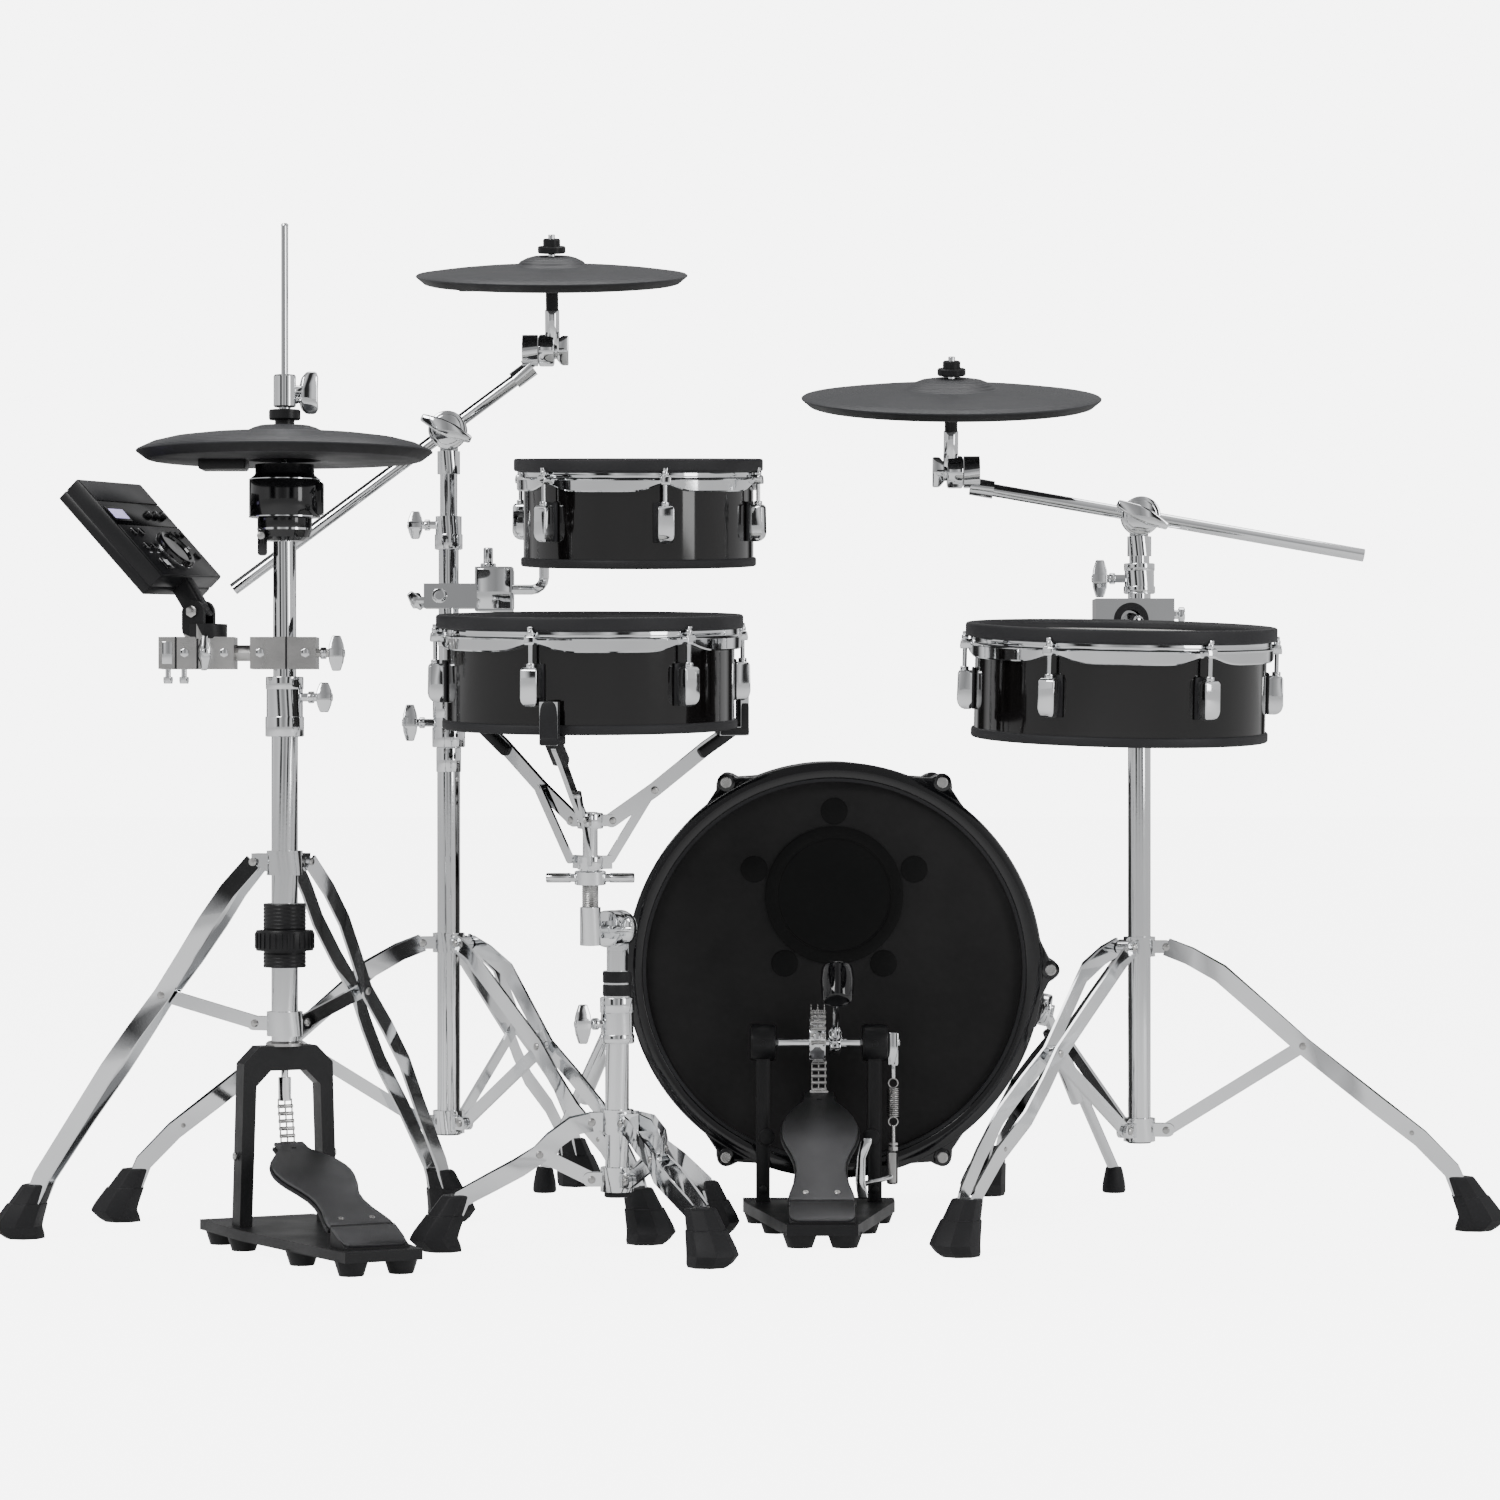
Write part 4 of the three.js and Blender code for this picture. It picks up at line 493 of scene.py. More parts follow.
weave_sum = weave.nodes.new("ShaderNodeMath")
weave_cross = weave.nodes.new("ShaderNodeMath")
weave_cross.operation = "ADD"
weave.links.new(weave_axes.outputs["Z"], weave_cross.inputs[0])
weave.links.new(weave_axes.outputs["Y"], weave_cross.inputs[1])
weave_sum.operation = "MULTIPLY"
weave.links.new(wave_of(weave, weave_axes.outputs["X"], weave_in.outputs["Pitch"]), weave_sum.inputs[0])
weave.links.new(wave_of(weave, weave_cross.outputs[0], weave_in.outputs["Pitch"]), weave_sum.inputs[1])
weave.links.new(weave_sum.outputs[0], weave_out.inputs["Thread"])
relief(weave, weave_sum.outputs[0], weave_in.outputs["Depth"], weave_out.inputs["Normal"])


def mesh_skin(name, dark, light, pitch):
    """Woven mesh: fine crossed threads in relief, with a little sheen."""
    made = finish(name, dark, light, 12.0, 0.55, 0.75, 900.0, 0.05)
    nodes, links = made.node_tree.nodes, made.node_tree.links
    shader = nodes["Principled BSDF"]
    shader.inputs["Sheen Weight"].default_value = 0.15
    threads = nodes.new("ShaderNodeGroup")
    threads.node_tree = weave
    threads.inputs["Pitch"].default_value = pitch
    links.new(threads.outputs["Normal"], shader.inputs["Normal"])
    return made


kick_mesh = mesh_skin("kick_head_mesh", (0.0105, 0.0098, 0.0102), (0.013, 0.0122, 0.0128), 4200.0)
kick_skin = turned([(0.0002, 0.0106), (0.2286, 0.0106), (0.2286, 0.0136), (0.0002, 0.0136)], 128)
fit(kick_skin, "kick_batter_skin", kick_mesh, root, kick, ["kick_batter_head"])
pad_middle = Matrix.Translation((0, -0.084, 0))
patch_rubber = finish("patch_rubber", (0.0045, 0.0045, 0.0045), (0.0065, 0.0065, 0.0065), 30.0, 0.5, 0.6,
                      900.0, 0.1, gleam=0.15)
patch_ring = turned([(0.064, 0.0107), (0.078, 0.0107), (0.078, 0.0089), (0.0765, 0.0084), (0.0655, 0.0084),
                     (0.064, 0.0089)], 96, True)
fit(patch_ring, "kick_patch_ring", patch_rubber, root, kick @ pad_middle)
patch_skin = turned([(0.064, 0.0106), (0.0638, 0.0098), (0.0004, 0.0096)], 96)
fit(patch_skin, "kick_patch_skin", patch_rubber, root, kick @ pad_middle)
dot = turned([(0.0152, 0.0107), (0.0152, 0.0099), (0.0145, 0.0096), (0.0002, 0.0096)], 48)
dot.data.transform(Matrix.Translation((0.095, 0, 0)))
dots = around(dot, 5, -90)
fit(dots, "kick_head_dots", patch_rubber, root, kick @ pad_middle)

# Each spur is a chrome leg on a round joint at the drum's side, with a rubber tip on the floor.
spur_sides = {"right": 1, "left": -1}
for side, sign in spur_sides.items():
    hinge = pin(f"kick_spur_{side}_fold")
    outward = axis(f"kick_spur_{side}_fold") * -1
    outward = Vector((sign * abs(outward.x), 0, -abs(outward.z)))
    bracket = box((0.032, 0.046, 0.046), (0.2345, 0, 0), 0.004)
    out_turn = Matrix.Translation(hinge) @ outward.to_track_quat("X", "Z").to_matrix().to_4x4()
    fit(bracket, f"kick_spur_bracket_{side}", casting, root, out_turn)
    body = f"kick_spur_{side}_body"
    start = hinge + outward * 0.2508
    disc = rod(start, start + outward * 0.012, 0.019, 48, 0.002)
    knob = rod(start + outward * 0.012, start + outward * 0.017, 0.008, 6, 0.0008)
    foot = Vector((kick_middle.x + sign * 0.341, kick_middle.y + 0.312, 0))
    leg = rod(start + outward * 0.006, foot + Vector((0, 0, 0.028)), 0.0065, 32)
    sleeve_end = start.lerp(foot, 0.5)
    sleeve = rod(start.lerp(foot, 0.12), sleeve_end, 0.0078, 32, 0.0008)
    spur = joined([disc, knob, leg, sleeve])
    fit(spur, f"kick_spur_leg_{side}", chrome, body, stands_for=[f"kick_spur_{side}"])
    tip = turned([(0.0128, 0.0), (0.0142, 0.003), (0.0135, 0.012), (0.0105, 0.027), (0.0092, 0.031),
                  (0.0005, 0.031)], 32)
    soften(tip, 0.001)
    fit(tip, f"kick_spur_tip_{side}", foot_rubber, body, Matrix.Translation(foot))


# ------------------------------------------------------------------ kick pedal
# A brushed footboard over a black plate, a double chain up to a cam on a hexagonal axle, a hard black
# beater on a chrome shaft, and a coil spring at the right that pulls a rocker on the axle down.
pedal_back = 0.04
pedal_axle_height = 0.203
pedal_floor = pin("kick_beater_swing") - Vector((0, -pedal_back, pedal_axle_height))
pedal = Matrix.Translation(pedal_floor)

brush, brush_in, brush_out = group_of(
    "brush", [("Fine", number, 1200.0), ("Depth", number, 0.2)], [("Streak", number), ("Normal", vector)]
)
brush_place = brush.nodes.new("ShaderNodeTexCoord").outputs["Object"]
brush_stretch = brush.nodes.new("ShaderNodeMapping")
brush_stretch.inputs["Scale"].default_value = (1, 0.03, 0.03)
brush.links.new(brush_place, brush_stretch.inputs["Vector"])
brush_streak = noise(brush, brush_stretch.outputs[0], brush_in.outputs["Fine"], 3.0)
brush.links.new(brush_streak, brush_out.inputs["Streak"])
relief(brush, brush_streak, brush_in.outputs["Depth"], brush_out.inputs["Normal"])


def brushed(name, dark, light, smooth, rough):
    """Brushed metal: fine streaks that run along Y, over the mottle."""
    made = finish(name, dark, light, 12.0, smooth, rough, 900.0, 0.1, metallic=1.0)
    streaks = made.node_tree.nodes.new("ShaderNodeGroup")
    streaks.node_tree = brush
    normal = made.node_tree.nodes["Principled BSDF"].inputs["Normal"]
    made.node_tree.links.new(streaks.outputs["Normal"], normal)
    return made


board_metal = brushed("brushed_dark_aluminium", (0.1, 0.1, 0.105), (0.16, 0.16, 0.165), 0.36, 0.5)


def strip_of(outline, thickness, edge):
    """A flat board that runs along +Y, from (length, half width) stations, about its own middle height."""
    board = loft(4, [(length, half, thickness / 2, 0, 0) for length, half in outline])
    board.data.transform(Matrix.Rotation(math.radians(-90), 4, "X"))
    return soften(board, edge, 2, 50)


board_length = 0.222
board_shares = [(0, 0.0345), (0.03, 0.035), (0.1, 0.0325), (0.19, 0.0282), (0.28, 0.0265), (0.36, 0.0277),
                (0.44, 0.032),
                (0.52, 0.0378), (0.58, 0.0408), (0.64, 0.042), (0.7, 0.041), (0.76, 0.0376), (0.82, 0.0315),
                (0.87, 0.0245), (0.905, 0.0185), (0.93, 0.0172), (1, 0.0165)]
board_outline = [(share * board_length + 0.0004, half) for share, half in board_shares]


def footboard(name, hinge, turn, body, stands_for):
    """The footboard on its hinge: a brushed top plate, a black plate under it, and its fasteners."""
    place = Matrix.Translation(hinge) @ turn
    top = strip_of(board_outline, 0.004, 0.0012)
    fit(top, name + "_top", board_metal, body, place
        @ Matrix.Translation((0, 0, 0.0012)), [stands_for])
    wider = [(length - 0.002 if length > 0.2 else length, half + 0.0022) for length, half in board_outline]
    under = strip_of(wider, 0.0046, 0.0015)
    fit(under, name + "_underplate", casting, body, place
        @ Matrix.Translation((0, 0, -0.0032)))
    screw = turned([(0.0034, 0), (0.0034, 0.0008), (0.0026, 0.0014), (0.0014, 0.0014), (0.0014, 0.0006),
                    (0.0003, 0.0006)], 20)
    screws = joined([copy_of(screw, Matrix.Translation((x, 0.016, 0.003))) for x in (-0.017, 0.017)])
    bpy.data.objects.remove(screw)
    slot_mark = box((0.005, 0.002, 0.0006), (0, 0.205, 0.0033), 0.0002)
    fit(screws, name + "_screws", steel, body, place)
    fit(slot_mark, name + "_slot", foot_rubber, body, place)
    barrel = rod((-0.034, 0, -0.0005), (0.034, 0, -0.0005), 0.0042, 24, 0.0006)
    fit(barrel, name + "_hinge_barrel", casting, body, place)


kick_board_turn = Matrix.Rotation(math.radians(27.3), 4, "X")
kick_heel = pin("kick_pedal_press")
footboard("kick_footboard", kick_heel, kick_board_turn, "kick_footboard_body", "kick_footboard")


def heel_plate(name, hinge, floor_place, body):
    """The rounded plate under the heel."""
    rise = math.atan2(0.018, 0.044)
    place = Matrix.Translation(hinge) @ floor_place.to_3x3().to_4x4() @ Matrix.Rotation(rise, 4, "X")
    plate = strip_of([(-0.0455, 0.026), (-0.0435, 0.0305), (-0.038, 0.034), (-0.028, 0.0352),
                      (-0.0035, 0.0352)], 0.004, 0.0012)
    fit(plate, name + "_heel_plate", board_metal, body, place
        @ Matrix.Translation((0, 0, 0.0024)))


heel_plate("kick_pedal", kick_heel, pedal, root)

# The double chain: two rows of rollers between thin links, from the cam down to the footboard's toe.
roller = rod((-0.0085, 0, 0), (0.0085, 0, 0), 0.0021, 16, 0.0003)
plates = [box((0.0011, 0.0026, 0.0088), (x, 0, 0.0037), 0.0003) for x in (-0.0078, -0.0004, 0.0070)]
link = joined([roller, *plates])
chain_low, chain_pitch = 0.151, 0.0074
chain_y = -pedal_back - 0.004
hanging = [copy_of(link, Matrix.Translation((0, chain_y, chain_low + k * chain_pitch))) for k in range(5)]
chain_clip = box((0.021, 0.009, 0.005), (0, chain_y + 0.002, 0.1475), 0.001)
fit(joined([*hanging, chain_clip]), "kick_chain_hanging", steel, "kick_footboard_body", pedal)
cam_middle = Vector((0, -pedal_back, pedal_axle_height + 0.005))
cam_reach = 0.0298
wrap = []
for k in range(13):
    turn = Matrix.Rotation(math.radians(96 - 15.5 * k), 4, "X")
    wrap.append(copy_of(link, Matrix.Translation(cam_middle) @ turn
                        @ Matrix.Translation((-0.001, 0, cam_reach))))
bpy.data.objects.remove(link)
fit(joined(wrap), "kick_chain_wrapped", steel, "kick_beater_body", pedal)

axle = rod((-0.0708, -pedal_back, 0.203), (0.0905, -pedal_back, 0.203), 0.0056, 6, 0.0006)
cam = rod((-0.0113, -pedal_back, 0.208), (0.0073, -pedal_back, 0.208), 0.0284, 64, 0.0015)
cam_screw = rod((-0.002, -pedal_back - 0.034, 0.212), (-0.002, -pedal_back - 0.02, 0.209), 0.0046, 24,
                0.0008)
beater_out = Vector((0, -math.sin(math.radians(61.5)), math.cos(math.radians(61.5))))
beater_foot = Vector((0.018, -pedal_back, 0.203))
beater_block = box((0.0136, 0.0268, 0.0268), (0, 0, 0), 0.003)
beater_block.data.transform(Matrix.Translation(beater_foot) @ Matrix.Rotation(math.radians(61.5), 4, "X"))
beater_screw = rod(beater_foot + Vector((0.006, 0, 0)), beater_foot + Vector((0.013, 0, 0)), 0.0042, 4,
                   0.0006)
shaft = rod(beater_foot, beater_foot + beater_out * 0.166, 0.0036, 24, 0.0006)
shaft_collar = rod(beater_foot + beater_out * 0.012, beater_foot + beater_out * 0.024, 0.0078, 32, 0.001)
rocker = box((0.0124, 0.0164, 0.0384), (0.083, -pedal_back, 0.196), 0.003)
rocker_hook = rod((0.083, -pedal_back, 0.181), (0.083, -pedal_back, 0.163), 0.0028, 20, 0.0006)
fit(joined([axle, cam, cam_screw, beater_block, beater_screw, shaft, shaft_collar, rocker, rocker_hook]),
    "kick_axle_and_cam", chrome, "kick_beater_body", pedal, ["kick_beater"])
beater_head = turned([(0.0135, -0.0215), (0.0162, -0.020), (0.0176, -0.010), (0.0184, 0.002),
                      (0.0178, 0.013),
                      (0.0165, 0.019), (0.013, 0.0212), (0.0003, 0.0215)], 64)
soften(beater_head, 0.0012, 3, 20)
beater_along = Vector((0, math.cos(math.radians(61.5)), math.sin(math.radians(61.5))))
beater_place = along(beater_foot + beater_out * 0.153, beater_foot + beater_out * 0.153 + beater_along)
fit(beater_head, "kick_beater_head", gloss_plastic, "kick_beater_body", pedal
    @ beater_place)

# The spring hangs from the rocker and hooks on a threaded rod below it.
spring_x, spring_radius, spring_wire = 0.083, 0.0064, 0.0009
spring_low, spring_high, spring_turns = 0.119, 0.152, 15
deselect()
bpy.ops.curve.primitive_bezier_circle_add(radius=spring_wire)
wire_section = bpy.context.object
spring_path = bpy.data.curves.new("spring_path", "CURVE")
spring_path.dimensions = "3D"
spring_line = spring_path.splines.new("POLY")
spring_steps = spring_turns * 16
spring_line.points.add(spring_steps)
for k, point in enumerate(spring_line.points):
    turn = 2 * math.pi * spring_turns * k / spring_steps
    height = spring_low + (spring_high - spring_low) * k / spring_steps
    point.co = (spring_x + spring_radius * math.cos(turn), -pedal_back + spring_radius * math.sin(turn),
                height, 1)
spring_path.bevel_depth = spring_wire
spring_path.bevel_resolution = 2
spring = bpy.data.objects.new("spring_coil", spring_path)
bpy.context.collection.objects.link(spring)
bpy.data.objects.remove(wire_section)
deselect()
spring.select_set(True)
bpy.context.view_layer.objects.active = spring
bpy.ops.object.convert(target="MESH")
spring = bpy.context.object


def ring_at(middle, radius, wire, turn=Matrix.Identity(4)):
    """A wire ring about Y."""
    deselect()
    bpy.ops.mesh.primitive_torus_add(major_radius=radius, minor_radius=wire, major_segments=32,
                                     minor_segments=10)
    ring = bpy.context.object
    ring.data.transform(Matrix.Translation(middle) @ turn @ Matrix.Rotation(math.radians(90), 4, "X"))
    return ring


spring_eyes = [ring_at((spring_x, -pedal_back, z), 0.0052, spring_wire) for z in (0.1145, 0.1575)]
spring_rod = rod((spring_x, -pedal_back, 0.046), (spring_x, -pedal_back, 0.1105), 0.0026, 24, 0.0005)
spring_nuts = [loft(6, [(z, 0.0058, 0.0058, spring_x, -pedal_back),
                        (z + h, 0.0058, 0.0058, spring_x, -pedal_back)])
               for z, h in ((0.0825, 0.004), (0.0885, 0.0025))]
spring_block = box((0.0126, 0.0168, 0.0378), (0.082, -pedal_back, 0.0636), 0.003)
fit(joined([spring, *spring_eyes, spring_rod, *spring_nuts, spring_block]), "kick_pedal_spring", steel,
    root, pedal)

# Rubber covers on the axle's bearings, bolts on the posts, and the clamp lever for the drum's hoop.
covers = []
for sign in (-1, 1):
    x = sign * 0.0625
    covers.append(rod((x - 0.0142, -pedal_back, 0.203), (x + 0.0142, -pedal_back, 0.203), 0.0206, 64,
                      0.003))
    covers.append(rod((x, -pedal_back - 0.0198, 0.203), (x, -pedal_back - 0.0212, 0.203), 0.0035, 24,
                      0.0004))
    covers.append(box((0.0156, 0.0206, 0.165), (x, -pedal_back, 0.105), 0.003))
    covers.append(rod((x - sign * 0.004, -pedal_back - 0.009, 0.098),
                      (x - sign * 0.004, -pedal_back - 0.013, 0.098), 0.0095, 32, 0.002))
    covers.append(rod((x, -pedal_back - 0.009, 0.04), (x, -pedal_back - 0.0125, 0.04), 0.0045, 6, 0.0006))
fit(joined(covers), "kick_pedal_post_covers", casting, root, pedal)
lever = loft(4, [(0.0, 0.006, 0.004, 0, 0), (0.02, 0.0055, 0.0032, -0.003, 0),
                 (0.045, 0.005, 0.0028, -0.002, 0),
                 (0.062, 0.0065, 0.004, 0.003, 0), (0.068, 0.005, 0.003, 0.005, 0)])
soften(lever, 0.0018, 3, 25)
lever.data.transform(Matrix.Translation((0.049, -0.055, 0.030)))
lever_axle = rod((0.048, -0.05, 0.045), (0.082, -0.046, 0.054), 0.0032, 20, 0.0006)
fit(joined([lever, lever_axle]), "kick_pedal_clamp_lever", chrome, root, pedal)


# ------------------------------------------------------------------ stand legs
# Chrome strip legs. Each pair of strips is riveted to its stay, and ends in a rubber boot that flares
# at its sole and leans outwards.
def leg_frame(foot, angle):
    """The frame of a leg: its stand's axis on the floor, with X pointing out along the leg."""
    return Matrix.Translation((foot.x, foot.y, 0)) @ Matrix.Rotation(math.radians(angle), 4, "Z")


def angle_of(foot, leg_pin):
    """The direction of a leg from its stand's axis, in degrees."""
    return math.degrees(math.atan2(leg_pin.y - foot.y, leg_pin.x - foot.x))


boot_model = loft(8, [(0.0001, 0.0212, 0.0212, 0, 0), (0.0045, 0.0246, 0.0246, 0.004, 0),
                      (0.013, 0.0276, 0.0276, 0.010, 0),
                      (0.021, 0.0262, 0.0262, 0.0068, 0), (0.038, 0.0223, 0.0223, -0.0025, 0),
                      (0.0385, 0.0208, 0.0208, -0.003, 0), (0.0575, 0.0172, 0.0172, -0.0138, 0),
                      (0.0592, 0.0158, 0.0158, -0.0146, 0)])
soften(boot_model, 0.0014, 3, 12)


def boot(name, place, reach, body):
    """A rubber boot at a leg's end."""
    fit(copy_of(boot_model, Matrix.Translation((reach, 0, 0))), name, foot_rubber, body, place)


def rivet(x, z, half, radius=0.0042):
    """A rivet through a leg, with a domed head at each side."""
    head = turned([(radius, 0), (radius, 0.0008), (radius * 0.7, 0.0018), (0.0003, 0.0021)], 20)
    sides = [copy_of(head, Matrix.Translation((x, sign * half, z))
                     @ Matrix.Rotation(math.radians(-90 * sign), 4, "X"))
             for sign in (-1, 1)]
    bpy.data.objects.remove(head)
    return sides


stand_foot = {
    "crash": pin("tom_arm_turn"), "ride": pin("floor_tom_arm_turn"),
    "hihat": pin("module_arm_turn"), "snare": pin("snare_basket_tilt"),
}
for stand in ("crash", "ride"):
    for k in (1, 2, 3):
        bearing = angle_of(stand_foot[stand], pin(f"{stand}_leg_{k}_fold"))
        place = leg_frame(stand_foot[stand], bearing)
        body = f"{stand}_leg_{k}_body"
        boot(f"{stand}_boot_{k}", place, 0.367, body)
        rivets = rivet(0.030, 0.311, 0.0121) + rivet(0.181, 0.202, 0.0091) + rivet(0.300, 0.108, 0.0131,
                                                                                   0.003)
        fit(joined(rivets), f"{stand}_leg_rivets_{k}", steel, body, place)
        low_rivets = rivet(0.030, 0.107, 0.0065)
        fit(joined(low_rivets), f"{stand}_stay_rivets_{k}", steel, root, place)
hihat_bearings = (161.5, 60)
for k, bearing in enumerate(hihat_bearings, 1):
    place = leg_frame(stand_foot["hihat"], bearing)
    boot(f"hihat_boot_{k}", place, 0.308, root)
    rivets = rivet(0.032, 0.411, 0.0121) + rivet(0.141, 0.267, 0.0091) + rivet(0.032, 0.239, 0.0065)
    fit(joined(rivets), f"hihat_leg_rivets_{k}", steel, root, place)
snare_bearings = (183.5, -58, 58)
for k, bearing in enumerate(snare_bearings, 1):
    place = leg_frame(stand_foot["snare"], bearing)
    boot(f"snare_boot_{k}", place, 0.184, root)
    rivets = rivet(0.027, 0.136, 0.0121) + rivet(0.082, 0.102, 0.0081) + rivet(0.027, 0.075, 0.0065)
    fit(joined(rivets), f"snare_leg_rivets_{k}", steel, root, place)
bpy.data.objects.remove(boot_model)


# ------------------------------------------------------------------ drums
# Three shallow drums with gloss black shells. Six chrome lugs with rubber gaskets hold tension rods that
# pull a scalloped chrome hoop down over a mesh head, and a rubber rim stands on the hoop.
def upright(origin, up):
    """A frame at a point, with Z along a direction and X level."""
    z = up.normalized()
    x = Vector((0, 1, 0)).cross(z).normalized()
    y = z.cross(x)
    return Matrix.Translation(origin) @ Matrix((x, y, z)).transposed().to_4x4()


def crown(node, up):
    """The middle of a turned node's highest ring along a direction."""
    points = [point.co for point in frame["nodes"][node].data.vertices]
    top = max(point.dot(up) for point in points)
    ring = {tuple(round(value, 5) for value in point) for point in points if point.dot(up) > top - 0.0003}
    return sum((Vector(point) for point in ring), Vector()) / len(ring)


drum_mesh = mesh_skin("drum_head_mesh", (0.52, 0.52, 0.5), (0.6, 0.6, 0.58), 4200.0)
drum_height = 0.1194


def pad_drum(name, up, radius, rim_radius, first_lug, body):
    """A drum on its own axis. Returns its frame at the middle of its lower edge."""
    top = crown(name + "_rim", up)
    place = upright(top - up.normalized() * drum_height, up)
    wall = turned([(radius - 0.007, 0.009), (radius, 0.009), (radius, 0.0955), (radius - 0.007, 0.0955)],
                  128, True)
    fit(wall, name + "_shell_wall", lacquer, body, place, [name + "_shell"])
    lip = turned([(radius - 0.0078, 0.0), (radius + 0.003, 0.0), (radius + 0.003, 0.0102),
                  (radius - 0.0078, 0.0102)], 128, True)
    fit(soften(lip, 0.0024, 3), name + "_lower_rim", rim_rubber, body, place)
    rim = turned([(radius - 0.004, 0.1052), (rim_radius, 0.1052), (rim_radius, drum_height),
                  (rim_radius - 0.007, drum_height), (radius - 0.003, 0.1156), (radius - 0.004, 0.1125)],
                 128, True)
    fit(soften(rim, 0.0026, 4, 40), name + "_rubber_rim", rim_rubber, body, place,
        [name + "_rim"])
    skin = turned([(radius - 0.0038, 0.1090), (radius - 0.0042, 0.1102), (0.0003, 0.1106)], 96)
    fit(skin, name + "_mesh_skin", drum_mesh, body, place)
    band = turned([(radius - 0.002, 0.0972), (radius + 0.0052, 0.0972), (radius + 0.0052, 0.1054),
                   (radius - 0.002, 0.1054)], 128, True)
    fit(soften(band, 0.0008), name + "_chrome_band", chrome, body, place)
    hoop = turned([(radius + 0.0005, 0.0846), (radius + 0.0058, 0.0838), (radius + 0.0072, 0.0852),
                   (radius + 0.0074, 0.0962),
                   (radius + 0.0092, 0.0978), (radius + 0.0078, 0.0992), (radius + 0.0005, 0.0992)], 144,
                  True)
    lugs_at = [math.radians(first_lug - 90 + 60 * k) for k in range(6)]
    for point in hoop.data.vertices:
        turn = math.atan2(point.co.y, point.co.x)
        away = min(abs(math.remainder(turn - lug, 2 * math.pi)) for lug in lugs_at)
        if point.co.z < 0.09:
            point.co.z += 0.0085 * math.exp(-(away / math.radians(8)) ** 2)
    fit(hoop, name + "_chrome_hoop", chrome, body, place)

    gasket = box((0.003, 0.0225, 0.0435), (radius + 0.0013, 0, 0.0505), 0.001)
    fit(around(gasket, 6, first_lug - 90), name + "_lug_gaskets", foot_rubber, body, place)
    lug_body = loft(4, [(0.0282, 0.0036, 0.0034, radius + 0.0070, 0),
                        (0.0292, 0.0052, 0.0056, radius + 0.0080, 0),
                        (0.0312, 0.0066, 0.0074, radius + 0.0090, 0),
                        (0.0338, 0.0076, 0.0085, radius + 0.0096, 0),
                        (0.0380, 0.0082, 0.0090, radius + 0.0100, 0),
                        (0.0660, 0.0078, 0.0090, radius + 0.0098, 0),
                        (0.0690, 0.0066, 0.0076, radius + 0.0090, 0)])
    soften(lug_body, 0.0026, 4, 30)
    socket = rod((radius + 0.0108, 0, 0.0685), (radius + 0.0108, 0, 0.0730), 0.0046, 24, 0.0008)
    tension = rod((radius + 0.0108, 0, 0.0700), (radius + 0.0108, 0, 0.1010), 0.0024, 20)
    claw = loft(4, [(0.0915, 0.0052, 0.0045, radius + 0.0108, 0),
                    (0.0945, 0.0068, 0.0058, radius + 0.0092, 0),
                    (0.1002, 0.0068, 0.0058, radius + 0.0086, 0),
                    (0.1018, 0.0050, 0.0048, radius + 0.0086, 0)])
    soften(claw, 0.0014, 3, 25)
    head = rod((radius + 0.0108, 0, 0.1012), (radius + 0.0108, 0, 0.1062), 0.0038, 24, 0.0012)
    cap = rod((radius + 0.0108, 0, 0.1060), (radius + 0.0108, 0, 0.1098), 0.0027, 4, 0.0006)
    lugs = around(joined([lug_body, socket, tension, claw, head, cap]), 6, first_lug - 90)
    fit(lugs, name + "_lugs", chrome, body, place)
    return place


tom_up = axis("tom_turn")
tom_place = pad_drum("tom", tom_up, 0.128, 0.1385, -46.6, "tom_drum_body")
floor_tom_up = axis("floor_tom_height")
floor_tom_place = pad_drum("floor_tom", floor_tom_up, 0.152, 0.1625, -31, "floor_tom_drum_body")
snare_up = axis("snare_arm_1_open").cross(axis("snare_arm_2_open"))
snare_place = pad_drum("snare", snare_up, 0.1515, 0.1608, -19.6, "snare_basket_body")


def rod_bracket(name, drum, rod_line, low, high, radius, body, clearance=0.0072):
    """The bracket that clamps a drum on its bent rod, with its plate and bolt heads on the shell."""
    to_drum = drum.inverted()
    start = to_drum @ rod_line
    bearing = Matrix.Rotation(math.atan2(start.y, start.x), 4, "Z")
    reach = math.hypot(start.x, start.y)
    barrel = turned([(clearance, low), (0.0122, low), (0.0122, high), (clearance, high)], 48, True)
    barrel.data.transform(Matrix.Translation((reach, 0, 0)))
    neck = box((reach - 0.0118 - radius + 0.0005, 0.02, high - low - 0.004),
               ((reach - 0.0118 + radius) / 2, 0, (low + high) / 2), 0.003)
    plate = box((0.004, 0.034, high - low + 0.008), (radius + 0.0016, 0, (low + high) / 2), 0.0016)
    bolt_heads = [rod((radius + 0.003, y, z), (radius + 0.0065, y, z), 0.004, 6, 0.0006)
                  for y in (-0.0125, 0.0125) for z in (low + 0.002, high - 0.002)]
    fit(joined([soften(barrel, 0.001), neck, plate, *bolt_heads]), name, chrome, body, drum
        @ bearing)


rod_bracket("tom_bracket", tom_place, pin("tom_turn"), 0.024, 0.062, 0.128, "tom_drum_body")
floor_rod_foot = crown("floor_tom_clamp", -floor_tom_up)
rod_bracket("floor_tom_bracket", floor_tom_place, floor_rod_foot, 0.030, 0.066, 0.152,
            "floor_tom_drum_body")


